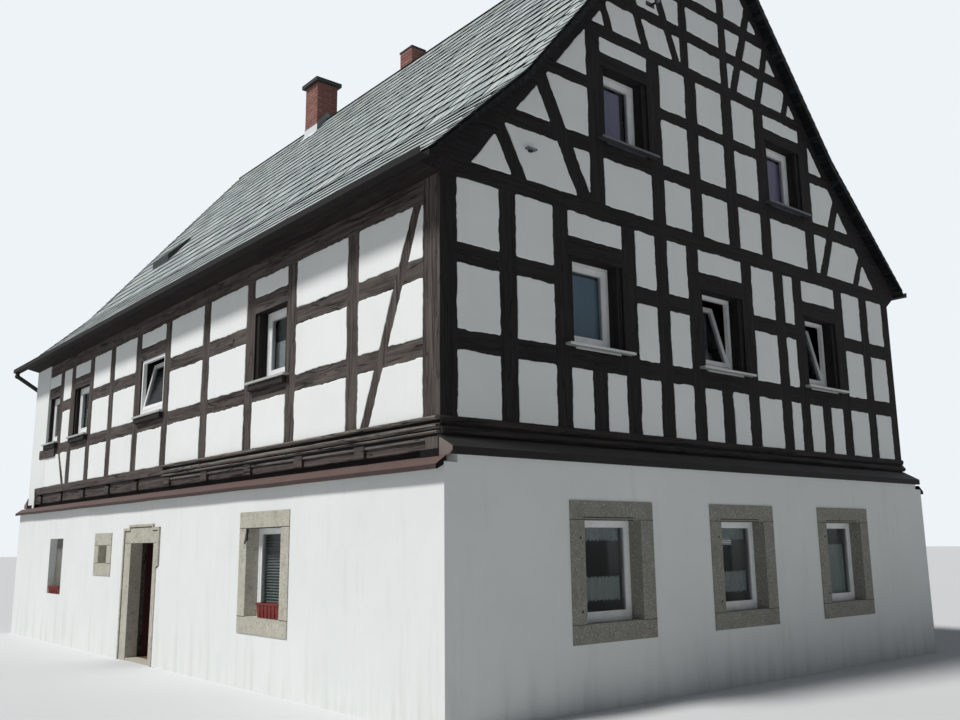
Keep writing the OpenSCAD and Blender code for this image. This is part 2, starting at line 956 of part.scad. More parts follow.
module ground_windows(part) {
    on_gables() for (c = front_window_centres)
        stone_window(c - front_window_width / 2 + jamb_splay, c + front_window_width / 2 - jamb_splay,
            front_window_sill, front_window_sill + front_window_height, -front_wall_step, ground_frame, ground_sash,
            ground_sash_bottom, part);
    on_eaves() {
        stone_window(side_window_near[0] + jamb_splay, side_window_near[1] - jamb_splay, side_window_near[2],
            side_window_near[3], -side_wall_step, ground_frame, ground_sash, ground_sash_bottom, part);
        stone_window(far_window[0], far_window[1], far_window[2], far_window[3], -side_wall_step, ground_frame,
            ground_sash, ground_sash_bottom, part);
        stone_window(small_window[0] + jamb_splay, small_window[1] - jamb_splay, small_window[2],
            small_window[3], -side_wall_step, small_frame, small_sash, small_sash, part);
    }
}

module all_windows(part) {
    upper_windows(part);
    ground_windows(part);
}

module window_linings() {
    color("black") upper_windows("lining");
}

module window_sills() {
    color("silver") upper_windows("sill");
}

module frame_stiles() {
    color("white") all_windows("frame stiles");
}

module frame_rails() {
    color("white") all_windows("frame rails");
}

module sash_stiles() {
    color("white") all_windows("sash stiles");
}

module sash_rails() {
    color("white") all_windows("sash rails");
}

module window_glass() {
    color("lightblue") all_windows("glass");
}

module flower_boxes() {
    color("brown") on_left() {
        translate([0, -side_wall_step - box_front, 0]) {
            block(near_box[0], near_box[0] + near_box[1], 0, box_depth, side_window_near[2],
                side_window_near[2] + near_box[2]);
            block(far_window[0] + far_box_inset, far_window[1] - far_box_inset, 0, box_depth, far_window[2],
                far_window[2] + box_height);
        }
    }
}

// Roof

// a polygon across the roof (distance from the ridge, height), run from end to end
module roof_run(points, y0, y1) {
    translate([0, y1, 0])
        rotate([90, 0, 0])
            linear_extrude(height = y1 - y0)
                polygon(points);
}

// where the main slope of a side ends, seen from the ridge, and the heights of its foot and edge
function kick_d(side) = half_width - feet[side][0];
function kick_z(side) = round(ridge_top - roof_pitch * kick_d(side));
function edge_z(side) = round(kick_z(side) - feet[side][1] * (edge_d - kick_d(side)));

// underside of the kicked foot at a distance inwards from the eaves frame
function kick_fall(side) = (kick_z(side) - covering - edge_z(side) + slate_edge) / (edge_d - kick_d(side));
function kick_under(side, a) = floor(edge_z(side) - slate_edge + kick_fall(side) * (a + eaves_overhang)) - seat_gap;
function verge(side) = side == 0 ? -roof_length / 2 : front_y - right_verge;

module main_slope(side) {
    roof_run([[0, ridge_top], [0, cover_under], [kick_d(side), kick_z(side) - covering],
        [kick_d(side), kick_z(side)]], verge(side), roof_length / 2);
}

module roof_right() {
    color("slategray") main_slope(1);
}

module roof_left() {
    color("slategray") mirror([1, 0, 0]) main_slope(0);
}

module roof_kicks() {
    color("slategray") for (side = [0, 1])
        mirror([1 - side, 0, 0])
            roof_run([[kick_d(side), kick_z(side)], [kick_d(side), kick_z(side) - covering],
                [edge_d, edge_z(side) - slate_edge], [edge_d, edge_z(side)]], verge(side), roof_length / 2);
}

module ridge_beam() {
    color("black")
        roof_run([[-ridge_half, rafter_under - roof_pitch * ridge_half],
            [ridge_half, rafter_under - roof_pitch * ridge_half], [ridge_half, cover_under - roof_pitch * ridge_half],
            [0, cover_under], [-ridge_half, cover_under - roof_pitch * ridge_half]], front_y, back_y);
}

module cap_board(side) {
    low = ridge_top - roof_pitch * ridge_cap_half;
    mirror([1 - side, 0, 0])
        roof_run([[0, ridge_top], [ridge_cap_half, low], [ridge_cap_half, low + ridge_cap_thickness],
            [ridge_cap_flat, ridge_top + ridge_cap_top], [0, ridge_top + ridge_cap_top]], verge(side),
            roof_length / 2);
}

module ridge_cap() {
    color("darkslategray") difference() {
        union() {
            cap_board(0);
            cap_board(1);
        }
        big_stack();
    }
}

module gable_rafters() {
    color("black") on_gables() for (side = [0, 1])
        translate([side * timber_width, 0, 0])
            mirror([side, 0, 0])
                slab([[half_width - ridge_half, rafter_top - roof_pitch * ridge_half],
                    [half_width - ridge_half, rafter_under - roof_pitch * ridge_half],
                    [half_width - rafter_foot, field_foot_z],
                    [half_width - rafter_top_foot, field_foot_z]], 0, timber_depth);
}

module sprockets() {
    color("black") on_gables() for (side = [0, 1])
        translate([side * timber_width, 0, 0])
            mirror([side, 0, 0])
                slab([[timber_depth, field_foot_z], [half_width - rafter_top_foot, field_foot_z],
                    [feet[side][0], kick_z(side) - covering], [timber_depth, kick_under(side, timber_depth)]],
                    0, timber_depth);
}

module box_section(side) {
    run([[timber_depth, sill_top + storey_height], [0, sill_top + storey_height],
        [-box_out, sill_top + storey_height + box_rises[side]], [-box_out, kick_under(side, -box_out)],
        [timber_depth, kick_under(side, timber_depth)]], 0, timber_length);
}

module eaves_boxing() {
    color("black") {
        on_left() box_section(0);
        on_right() box_section(1);
    }
}

module gutters() {
    color("dimgray") for (side = [0, 1])
        mirror([1 - side, 0, 0])
            translate([edge_d + gutter_gap, 0, edge_z(side) - gutter_drop])
                roof_run([[0, 0], [gutter_width, 0], [gutter_width, gutter_depth],
                    [gutter_width - gutter_wall, gutter_depth], [gutter_width - gutter_wall, gutter_wall],
                    [gutter_wall, gutter_wall], [gutter_wall, gutter_depth], [0, gutter_depth]],
                    verge(side), roof_length / 2);
}

module rod(from, to, radius) {
    run_x = to[0] - from[0];
    run_z = to[2] - from[2];
    translate(from) rotate([0, atan2(run_x, run_z), 0])
        cylinder(r = radius, h = norm(to - from), $fn = 24);
}

// rainwater pipe at the back corner: a swan neck from the gutter, then straight down
module downpipe(side) {
    pipe_y = back_y + pipe_standoff;
    outlet = [edge_d + gutter_gap + gutter_width / 2, pipe_y, edge_z(side) - gutter_drop];
    neck = [outlet[0], pipe_y, outlet[2] - pipe_neck];
    elbow = [half_width - pipe_inset, pipe_y, neck[2] - pipe_swan];
    rod([elbow[0], pipe_y, 0], elbow, pipe_radius);
    rod(elbow, neck, pipe_radius);
    rod(neck, outlet, pipe_radius);
    for (bend = [elbow, neck])
        translate(bend) sphere(r = bend_radius, $fn = 24);
    for (z = pipe_bracket_heights) {
        wall = z < front_wall_top ? back_y + front_wall_step : back_y;
        translate([elbow[0] - pipe_bracket / 2, wall, z]) cube([pipe_bracket, pipe_y - wall, pipe_bracket]);
    }
}

module downpipes() {
    color("dimgray") for (side = [0, 1]) mirror([1 - side, 0, 0]) downpipe(side);
}

module hatch_profile(d0, d1, low, high) {
    roof_run([[d0, ridge_top - roof_pitch * d0 + low[0]], [d1, ridge_top - roof_pitch * d1 + low[1]],
        [d1, ridge_top - roof_pitch * d1 + high[1]], [d0, ridge_top - roof_pitch * d0 + high[0]]],
        front_y + hatch_start, front_y + hatch_start + hatch_length);
}

module roof_hatch() {
    color("dimgray") mirror([1, 0, 0]) {
        hatch_profile(hatch_up, hatch_down, [0, 0], [hatch_curb, hatch_curb]);
        hatch_profile(hatch_up, hatch_down, [hatch_curb, hatch_curb], [hatch_curb + hatch_lid,
            hatch_curb + hatch_lift]);
    }
}

// Chimneys

module big_stack() {
    translate([-stack_width / 2, front_y + stack_start, ridge_top - stack_sink])
        cube([stack_width, stack_depth, stack_top - ridge_top + stack_sink]);
}

module small_stack() {
    translate([small_stack_out, front_y + small_stack_start, ridge_top - roof_pitch * small_stack_out - stack_sink])
        cube([small_stack_width, small_stack_depth, small_stack_rise + roof_pitch * small_stack_out + stack_sink]);
}

module roof_body() {
    roof_run([[-edge_d, ridge_top - roof_pitch * edge_d], [edge_d, ridge_top - roof_pitch * edge_d],
        [0, ridge_top]], -roof_length / 2 - eps, roof_length / 2 + eps);
}

module chimneys() {
    color("firebrick") difference() {
        union() {
            big_stack();
            small_stack();
        }
        roof_body();
    }
}

module chimney_caps() {
    color("dimgray") {
        translate([-stack_width / 2 - cap_overhang, front_y + stack_start - cap_overhang, stack_top])
            cube([stack_width + 2 * cap_overhang, stack_depth + 2 * cap_overhang, cap_thickness]);
        translate([small_stack_out - small_cap_overhang, front_y + small_stack_start - small_cap_overhang,
            ridge_top + small_stack_rise])
            cube([small_stack_width + 2 * small_cap_overhang, small_stack_depth + 2 * small_cap_overhang,
                small_cap_thickness]);
    }
}

// Door, drawn open: it turns about a pin on the room's side of the far jamb

knuckle_out = knuckle_radius + knuckle_gap;
door_axis_x = -half_width - side_wall_step + portal_depth + leaf_gap + leaf_thickness + knuckle_out;
door_axis_y = front_y + door_far + leaf_overlap + knuckle_out;
leaf_bottom = threshold_top + leaf_clearance;
leaf_top = door_head + leaf_overlap;
knuckle_bottoms = [leaf_bottom + hinge_inset, leaf_top - hinge_inset - knuckle_length];

module at_door_pin() {
    translate([door_axis_x, door_axis_y, 0]) children();
}

// fields between stiles and rails, seen on the leaf's outer face: start, end, bottom, top
door_columns = [[door_stile, leaf_width / 2 - door_stile / 2], [leaf_width / 2 + door_stile / 2,
    leaf_width - door_stile]];
door_rows = [[leaf_bottom + door_bottom_rail, door_lock_rail[0]], [door_lock_rail[1], leaf_top - door_stile]];

module door_fields(margin, sink) {
    for (c = door_columns, r = door_rows)
        translate([c[0] + margin, -leaf_thickness - eps, r[0] + margin])
            cube([c[1] - c[0] - 2 * margin, sink + eps, r[1] - r[0] - 2 * margin]);
}

module door_leaf() {
    color("maroon") at_door_pin() translate([knuckle_out, -knuckle_out, 0])
        difference() {
            translate([0, -leaf_thickness, leaf_bottom]) cube([leaf_width, leaf_thickness, leaf_top - leaf_bottom]);
            difference() {
                door_fields(0, field_sink);
                translate([0, field_sink - field_raise, 0]) door_fields(field_margin, field_sink);
            }
        }
}

// plate, neck and grip on one face of the leaf, seen from that face
module door_handle() {
    edge = leaf_width - handle_inset;
    neck = handle_grip[1];
    translate([edge - handle_plate[0] / 2, 0, handle_height - handle_plate[2] / 2]) cube(handle_plate);
    translate([edge - neck / 2, handle_plate[1], handle_height - neck / 2])
        cube([neck, handle_reach - handle_plate[1], neck]);
    translate([edge - handle_grip[0], handle_reach - neck, handle_height - neck / 2]) cube(handle_grip);
}

module door_hardware() {
    color("dimgray") at_door_pin() {
        for (z = knuckle_bottoms) {
            translate([0, 0, z]) cylinder(r = knuckle_radius, h = knuckle_length, $fn = 24);
            translate([0, -knuckle_out, z]) cube([strap_length, strap_thickness, knuckle_length]);
        }
        translate([knuckle_out, -knuckle_out, 0]) door_handle();
        translate([knuckle_out, -knuckle_out - leaf_thickness, 0]) mirror([0, 1, 0]) door_handle();
    }
}

module door_hooks() {
    color("dimgray") at_door_pin() for (z = knuckle_bottoms)
        translate([0, 0, z - hook_gap - hook_height]) {
            cylinder(r = hook_radius, h = hook_height, $fn = 24);
            translate([-hook_width / 2, 0, 0])
                cube([hook_width, door_recess - leaf_overlap - knuckle_out, hook_height]);
        }
}

front_wall_ground();
back_wall_ground();
left_wall_near_door();
left_wall_far_of_door();
left_wall_over_door();
right_wall_ground();
door_reveals();
window_lintels_and_sills();
window_jambs();
door_lintel_and_threshold();
door_jambs();
ground_floor();
door_floor();
upper_floor();
attic_floor();
gable_aprons();
eaves_aprons();
bearing_plates();
gable_sills();
eaves_sills();
sill_mouldings();
beam_ends();
beam_fillers();
gable_posts_and_studs();
gable_rails();
gable_panels();
eaves_posts_all();  // eaves_posts
eaves_rails();
eaves_panels();
braces();
plastered_piers();
gable_plates();
eaves_plates();
window_linings();
window_sills();
frame_stiles();
frame_rails();
sash_stiles();
sash_rails();
window_glass();
flower_boxes();
roof_left();
roof_right();
roof_kicks();
ridge_beam();
ridge_cap();
gable_rafters();
sprockets();
eaves_boxing();
gutters();
downpipes();
roof_hatch();
chimneys();
chimney_caps();
door_hooks();
door_leaf();
door_hardware();
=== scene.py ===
import bpy
import bmesh
import math
import random
from mathutils import Matrix, Vector, noise


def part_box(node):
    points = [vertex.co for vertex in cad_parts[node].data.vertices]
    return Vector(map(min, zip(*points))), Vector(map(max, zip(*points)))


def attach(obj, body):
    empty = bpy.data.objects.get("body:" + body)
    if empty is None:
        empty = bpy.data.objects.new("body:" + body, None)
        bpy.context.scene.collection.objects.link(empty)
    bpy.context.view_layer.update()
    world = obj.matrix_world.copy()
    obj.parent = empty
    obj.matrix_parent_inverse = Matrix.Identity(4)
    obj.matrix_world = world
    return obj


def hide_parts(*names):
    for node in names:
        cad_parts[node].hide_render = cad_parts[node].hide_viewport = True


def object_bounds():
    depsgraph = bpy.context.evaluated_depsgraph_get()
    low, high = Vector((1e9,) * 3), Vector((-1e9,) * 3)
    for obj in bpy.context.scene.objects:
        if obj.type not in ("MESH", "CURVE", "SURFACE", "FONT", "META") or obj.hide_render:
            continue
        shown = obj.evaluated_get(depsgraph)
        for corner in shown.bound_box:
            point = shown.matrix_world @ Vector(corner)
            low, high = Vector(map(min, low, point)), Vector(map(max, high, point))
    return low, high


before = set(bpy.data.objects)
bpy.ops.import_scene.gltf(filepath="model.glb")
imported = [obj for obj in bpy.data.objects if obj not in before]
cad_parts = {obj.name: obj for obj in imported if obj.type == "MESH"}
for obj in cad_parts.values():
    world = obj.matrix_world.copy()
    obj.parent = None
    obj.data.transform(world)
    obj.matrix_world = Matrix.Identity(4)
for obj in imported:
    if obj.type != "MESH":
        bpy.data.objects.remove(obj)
cad_lo, cad_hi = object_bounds()
scene = bpy.context.scene

# sizes of the timber frame and the roof in metres, as the frame has them
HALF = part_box("gable_sills")[1][0]
WIDTH = 2 * HALF
FRONT_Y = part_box("gable_posts_and_studs")[0][1]
BACK_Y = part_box("gable_posts_and_studs")[1][1]
LENGTH = BACK_Y - FRONT_Y
SILL_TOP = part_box("gable_sills")[1][2]
FIELD_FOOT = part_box("gable_plates")[1][2]
RIDGE_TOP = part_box("roof_left")[1][2]
PITCH = 1.22
EDGE_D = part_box("roof_kicks")[1][0]
# where each slope flattens, as a distance from the ridge, and the flatter pitch
KICK = {"left": (-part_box("roof_left")[0][0], 0.95), "right": (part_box("roof_right")[1][0], 0.93)}
MAIN_RUN = {side: d * math.hypot(1, PITCH) for side, (d, pitch) in KICK.items()}
VERGE = {"left": cad_lo[1], "right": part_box("roof_right")[0][1]}
LONG_WALLS = ("left", "right")
GABLES = ("front", "back")

# the stone walls stand out from the frame's face, and their dressed stones stand out further
FRONT_STEP = FRONT_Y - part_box("front_wall_ground")[0][1]
SIDE_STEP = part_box("front_wall_ground")[1][0] - HALF
STONE_PROUD = 0.012
FRONT_STONE = -FRONT_STEP - STONE_PROUD
SIDE_STONE = -SIDE_STEP - STONE_PROUD
RECESS = 0.012

# windows as ends along their wall
FRONT_WINDOWS = [2.275, 4.730, 7.190]
FRONT_CLEAR = 0.925
NEAR_WINDOW = (3.053, 3.975)
SMALL_WINDOW = (9.293, 9.720)
UPPER_GABLE = [(1.920, 2.855), (4.405, 5.370), (6.925, 7.830)]
ATTIC = [(2.594, 3.497), (6.217, 7.153)]
EAVES_WINDOWS = [(3.280, 4.200), (7.430, 8.485), (11.235, 12.130), (13.130, 13.875)]
EAVES_SILL = SILL_TOP + 0.855

# the two chimneys: ends along x and y, foot and head
BIG_STACK = (-0.265, 0.265, 3.130, 3.680, 10.30, 12.51)
SMALL_STACK = (0.315, 0.665, 0.143, 0.575, 10.35, 12.283)

# camera at the photograph's place
camera_data = bpy.data.cameras.new("camera")
camera = bpy.data.objects.new("camera", camera_data)
scene.collection.objects.link(camera)
scene.camera = camera
camera_data.sensor_width = 36.0
camera_data.lens = 35.254
camera_data.clip_end = 600.0
CAMERA_PLACE = Vector((-10.5067, -14.995, 1.7456))
CAMERA_TURN = math.radians(39.84)
CAMERA_TILT = math.radians(11.12)
CAMERA_ROLL = math.radians(-0.629)
camera.matrix_world = (
    Matrix.Translation(CAMERA_PLACE)
    @ Matrix.Rotation(-CAMERA_TURN, 4, "Z")
    @ Matrix.Rotation(math.pi / 2 + CAMERA_TILT, 4, "X")
    @ Matrix.Rotation(CAMERA_ROLL, 4, "Z")
)


# colours are written as they look on a screen, 0 to 255
def colour(red, green, blue):
    def linear(value):
        value = value / 255
        return value / 12.92 if value <= 0.04045 else ((value + 0.055) / 1.055) ** 2.4
    return (linear(red), linear(green), linear(blue), 1.0)


def feed(node, inputs):
    """Sets a node's inputs to values or joins them to other nodes' outputs."""
    for place, value in inputs.items():
        if isinstance(value, bpy.types.NodeSocket):
            node.id_data.links.new(value, node.inputs[place])
        else:
            node.inputs[place].default_value = value
    return node.outputs[0]


materials = {}


class Coat:
    """A procedural material in object coordinates: a tone, and others laid over it by noises."""

    def __init__(self, name, tone, rough, specular=0.5, metallic=0.0):
        self.material = materials[name] = bpy.data.materials.new(name)
        self.material.use_nodes = True
        self.tree = self.material.node_tree
        self.shader = self.tree.nodes["Principled BSDF"]
        feed(self.shader, {"Roughness": rough, "Metallic": metallic, "Specular IOR Level": specular})
        self.place = self.new("TexCoord").outputs["Object"]
        self.tone = tone

    def new(self, kind):
        return self.tree.nodes.new("ShaderNode" + kind)

    def noise(self, scale, detail, rough, bend=0.0):
        """A noise; three scales, one for each axis, draw it out into streaks."""
        place = self.place
        if isinstance(scale, tuple):
            place, scale = feed(self.new("Mapping"), {"Scale": scale, "Vector": place}), 1.0
        return feed(self.new("TexNoise"), {"Scale": scale, "Detail": detail, "Roughness": rough,
            "Distortion": bend, "Vector": place})

    def cells(self, scale, want="Distance"):
        node = self.new("TexVoronoi")
        feed(node, {"Scale": scale, "Vector": self.place})
        return node.outputs[want]

    def ramp(self, value, *stops):
        node = self.new("ValToRGB")
        elements = node.color_ramp.elements
        while len(elements) < len(stops):
            elements.new(0.5)
        for element, (place, level) in zip(elements, stops):
            element.position = place
            element.color = (level, level, level, 1)
        return feed(node, {"Fac": value})

    def mix(self, share, first, second):
        node = self.new("Mix")
        node.data_type = "RGBA"
        tones = [colour(*tone) if isinstance(tone, tuple) else tone for tone in (first, second)]
        feed(node, {0: share, 6: tones[0], 7: tones[1]})
        return node.outputs[2]

    def cover(self, share, over):
        """Lays a tone over what is painted so far."""
        self.tone = self.mix(share, self.tone, over)
        feed(self.shader, {"Base Color": self.tone})

    def veil(self, over, value, low, high, share, start=0.0):
        """Lays a tone over it whose share changes between a low and a high value."""
        self.cover(self.ramp(value, (low, start), (high, share)), over)

    def math(self, how, *values):
        node = self.new("Math")
        node.operation = how
        return feed(node, dict(enumerate(values)))

    def axis(self, name):
        node = self.new("SeparateXYZ")
        feed(node, {0: self.place})
        return node.outputs[name]

    def outer_side(self, reach):
        """1 on the outer faces of the long walls, 0 elsewhere."""
        return self.math("GREATER_THAN", self.math("ABSOLUTE", self.axis("X")), reach)

    def gloss(self, value, low, high):
        rough = feed(self.new("MapRange"), {"To Min": low, "To Max": high, "Value": value})
        feed(self.shader, {"Roughness": rough})

    def bump(self, value, depth, strength, **after):
        relief = feed(self.new("Bump"), {"Strength": strength, "Distance": depth, "Height": value, **after})
        feed(self.shader, {"Normal": relief})
        return relief


# tones of the timber frame, in the shade of the gables and bleached on the long walls
DARK = (24, 22, 22)
DARK_LIGHT = (46, 43, 42)
GREY = (46, 41, 40)
GREY_LIGHT = (98, 91, 87)
# near-black in the drying cracks: painted shade
CRACK_SHADE = (12, 11, 10)


def timber(name, along, worn=0.5, crack=1.0, tones=None):
    """Wood with its grain along one axis: long streaks, drying cracks darkened with painted shade, and
    weathered patches.
    """
    coat = Coat(name, None, rough=0.88, specular=0.12)

    def grained(across, lengthwise):
        return tuple(lengthwise if axis == along else across for axis in "xyz")

    grain = coat.noise(grained(26, 1.3), 6, 0.62, 0.4)
    split = coat.noise(grained(10.92, 0.546), 2, 0.5, 0.9)
    cracks = coat.ramp(split, (0.478, 0.0), (0.497, 1.0), (0.516, 0.0))
    if tones:
        dark, light = tones
    else:
        sunny = coat.outer_side(HALF - 0.006)
        dark = coat.mix(sunny, DARK, GREY)
        light = coat.mix(sunny, DARK_LIGHT, GREY_LIGHT)
    coat.tone = dark
    coat.veil(light, grain, 0.36, 0.64, 1.0)
    coat.veil(light, coat.noise(grained(4, 0.5), 3, 0.5), 0.35, 0.7, worn)
    coat.veil(dark, coat.noise(2.2, 5, 0.6), 0.5, 0.75, 0.55)
    coat.cover(coat.math("MULTIPLY", cracks, 0.75 * crack), CRACK_SHADE)
    coat.gloss(grain, 0.72, 0.95)
    coat.bump(coat.math("SUBTRACT", grain, coat.math("MULTIPLY", cracks, 0.9 * crack)), 0.012, 0.8)


def plaster(name, white, shade, wave, stain, foot=None):
    """Lime plaster, limewash or mortar: trowel waves, fine sand, rain stains and a splashed foot."""
    coat = Coat(name, white, rough=0.92, specular=0.25)
    cloud = coat.noise(0.75, 6, 0.62)
    runs = coat.noise((5.5, 5.5, 0.6), 4, 0.6)
    coat.veil(shade, cloud, 0.35, 0.7, 0.6)
    coat.veil((196, 194, 184), runs, 0.55, 0.8, stain)
    if foot:
        height = feed(coat.new("MapRange"), {"From Max": foot, "Value": coat.axis("Z")})
        low = coat.math("POWER", coat.math("SUBTRACT", 1.0, height), 1.4)
        splash = coat.math("MULTIPLY", low, coat.ramp(runs, (0.45, 0.10), (0.70, 1.0)))
        coat.cover(coat.math("MULTIPLY", splash, 0.30), (172, 174, 167))
    coat.gloss(cloud, 0.85, 0.98)
    waves = coat.bump(coat.noise(1.6, 4, 0.5, 0.3), wave, 0.6)
    coat.bump(coat.noise(75.0, 3, 0.7), 0.0035, 0.55, Normal=waves)


def granite(name, ground, warm, sunny_ground, sunny_warm):
    """Tooled granite: light and dark grains over a dull ground, warmer on the sunny long walls."""
    coat = Coat(name, None, rough=0.88, specular=0.35)
    sunny = coat.outer_side(HALF - 0.40)
    speck = coat.cells(120.0, "Color")
    coat.tone = coat.mix(sunny, ground, sunny_ground)
    coat.cover(coat.noise(3.5, 5, 0.6), coat.mix(sunny, warm, sunny_warm))
    coat.veil((70, 69, 64), speck, 0.10, 0.22, 0.0, 0.75)
    coat.veil((214, 212, 204), speck, 0.80, 0.92, 0.7)
    coat.veil((104, 101, 90), coat.noise(9.0, 4, 0.7), 0.52, 0.74, 0.5)
    coat.bump(coat.noise(34.0, 5, 0.7), 0.010, 0.8)


def metal_sheet(name, base, worn, rough, metallic=0.0):
    """Painted or bare sheet, clouded and streaked by the rain."""
    coat = Coat(name, base, rough, 0.25, metallic)
    cloud = coat.noise(2.4, 6, 0.6)
    coat.veil(worn, cloud, 0.35, 0.7, 0.8)
    coat.veil(worn, coat.noise((9, 9, 1.2), 5, 0.6), 0.55, 0.8, 0.5)
    coat.gloss(cloud, rough - 0.12, rough + 0.2)
    coat.bump(coat.noise(6.0, 3, 0.5), 0.004, 0.5)


def slate_tone(name, base, vein, specular=0.2):
    """Split slate with veins and lighter spots."""
    coat = Coat(name, base, 0.62, specular)
    cloud = coat.noise(5.0, 6, 0.65)
    veins = coat.noise((22, 3, 14), 5, 0.65)
    coat.veil(vein, cloud, 0.3, 0.75, 1.0)
    coat.veil((84, 90, 92), veins, 0.5, 0.78, 0.45)
    coat.veil(vein, coat.cells(46.0), 0.05, 0.16, 0.0, 0.35)
    coat.gloss(cloud, 0.5, 0.78)
    coat.bump(veins, 0.005, 0.7)


def glossy_paint(name, base, dull, rough=0.32):
    """Smooth paint or plastic under a little dust."""
    coat = Coat(name, base, rough)
    cloud = coat.noise(7.0, 5, 0.6)
    dust = coat.noise(40.0, 3, 0.6)
    coat.veil(dull, cloud, 0.4, 0.75, 0.7)
    coat.veil(dull, dust, 0.6, 0.85, 0.35)
    coat.gloss(cloud, rough, rough + 0.22)
    coat.bump(dust, 0.0012, 0.4)


def cloth(name, base, thread, weave=420.0):
    """Woven cloth with the thread's tone between its knots."""
    coat = Coat(name, thread, rough=0.95, specular=0.15)
    knots = coat.cells(weave)
    coat.veil(base, knots, 0.1, 0.6, 1.0)
    coat.veil(thread, coat.noise(6.0, 4, 0.6), 0.4, 0.75, 0.4)
    coat.bump(knots, 0.0006, 0.5)


def fired_clay(name, base, burnt):
    """Sandy brick with darker burnt patches."""
    coat = Coat(name, base, rough=0.9, specular=0.25)
    sand = coat.noise(160.0, 3, 0.7)
    coat.veil(burnt, coat.noise(9.0, 5, 0.6), 0.35, 0.7, 1.0)
    coat.veil((186, 160, 146), sand, 0.55, 0.8, 0.4)
    coat.bump(sand, 0.002, 0.6)


def painted_wood(name, base, dull):
    """Dulled paint with upright brush strokes."""
    coat = Coat(name, base, rough=0.5, specular=0.4)
    strokes = coat.noise((60, 60, 4), 4, 0.6)
    cloud = coat.noise(3.0, 5, 0.6)
    coat.veil(dull, cloud, 0.35, 0.7, 0.9)
    coat.veil(dull, strokes, 0.5, 0.8, 0.5)
    coat.gloss(cloud, 0.42, 0.68)
    coat.bump(strokes, 0.0015, 0.5)


def sill_metal(name):
    """Sheet metal on the window sills, light up to the upper storey and dark in the attic."""
    coat = Coat(name, None, rough=0.45, metallic=0.3)
    cloud = coat.noise(2.4, 6, 0.6)
    low = coat.math("LESS_THAN", coat.axis("Z"), FIELD_FOOT)
    coat.tone = coat.mix(low, (64, 66, 72), (184, 187, 186))
    coat.veil(coat.mix(low, (84, 86, 92), (158, 160, 156)), cloud, 0.35, 0.7, 0.8)
    coat.gloss(cloud, 0.38, 0.66)
    coat.bump(coat.noise(6.0, 3, 0.5), 0.004, 0.5)


def pane_with_painted_shade(name):
    """Mostly clear glass, slightly rippled, with a dark tint that paints the shade of the rooms behind it.
    """
    coat = Coat(name, (22, 30, 30), rough=0.04, specular=0.35)
    ripple = coat.noise(2.5, 2, 0.5)
    coat.cover(ripple, (34, 44, 46))
    coat.bump(ripple, 0.004, 0.25)
    # a quarter opaque in the dark tint: painted shade
    feed(coat.shader, {"Alpha": 0.26, "IOR": 1.45})


plaster("limewash", (230, 233, 232), (219, 223, 222), 0.014, 0.22, foot=0.85)
plaster("panel_plaster", (236, 239, 238), (224, 228, 227), 0.010, 0.12)
plaster("pier_plaster", (230, 234, 233), (216, 221, 220), 0.012, 0.2)
# dark mortar of the stone joints; the same tone fills the portal's and the lintels' grooves and the chip as
# painted shade
plaster("mortar_and_painted_shade", (62, 60, 55), (48, 46, 42), 0.002, 0.0)
plaster("chimney_mortar", (128, 104, 98), (110, 88, 82), 0.004, 0.2)
plaster("box_soil", (58, 44, 34), (40, 31, 25), 0.012, 0.3)

timber("timber_x", "x")
timber("timber_y", "y", 0.6, 1.2)
timber("timber_z", "z")
timber("moulding_timber", "y", 0.8, 1.5, ((56, 52, 50), (132, 125, 120)))
timber("moulding_timber_front", "x", 0.5, 1.2, (DARK, (60, 56, 54)))
timber("soffit_boards", "y", 0.3, 0.5, ((30, 27, 27), (48, 44, 43)))
timber("sill_board_timber", "y", 0.5, 1.2, ((34, 31, 30), (62, 57, 55)))
timber("filler_timber", "y", 0.7, 1.4, ((48, 43, 41), (94, 86, 83)))
timber("corner_end_timber", "z", 0.7, 1.4, ((50, 46, 44), (112, 105, 100)))
# near-black timber for gaps, undersides and ends: painted shade
timber("painted_shade_timber", "y", 0.2, 0.5, ((18, 17, 16), (30, 28, 27)))
timber("panel_edge_paint", "z", 0.3, 0.4)
timber("floor_boards", "y", 0.5, 0.6, ((86, 66, 48), (132, 106, 80)))

granite("granite", (126, 126, 119), (150, 148, 138), (158, 157, 146), (204, 198, 184))
# darker granite for the door's reveals: painted shade in the recess
granite("reveal_stone_painted_shade", (96, 95, 88), (112, 110, 100), (92, 91, 84), (108, 106, 97))

metal_sheet("apron_dark", (21, 20, 20), (33, 31, 31), 0.78)
metal_sheet("apron_red", (84, 66, 62), (98, 81, 76), 0.75)
# the lip a darker red than the sloping top: painted shade
metal_sheet("apron_lip_painted_shade", (56, 45, 43), (70, 58, 55), 0.75)
metal_sheet("cheek_board", (106, 95, 92), (126, 115, 111), 0.7)
metal_sheet("dark_zinc", (40, 43, 43), (58, 62, 60), 0.6)
metal_sheet("gutter_metal", (22, 20, 20), (34, 31, 30), 0.75)
# one lead in two tones, a near-white painted light and a darker painted shade; the darker tone also serves
# the lamp
metal_sheet("lead_painted_light", (226, 229, 231), (200, 204, 206), 0.45, 0.1)
metal_sheet("lead_painted_shade_and_lamp_metal", (98, 106, 110), (122, 130, 132), 0.5, 0.2)
metal_sheet("iron", (38, 36, 34), (80, 60, 46), 0.6, 0.6)
sill_metal("sill_metal")

SLATES = ("slate_a", "slate_b", "slate_c", "slate_d")
slate_tone("slate_a", (160, 169, 168), (178, 186, 185))
slate_tone("slate_b", (152, 161, 161), (170, 178, 177))
slate_tone("slate_c", (170, 178, 176), (190, 196, 193))
slate_tone("slate_d", (134, 143, 144), (156, 164, 165))
slate_tone("ridge_slate", (128, 134, 130), (156, 156, 146))
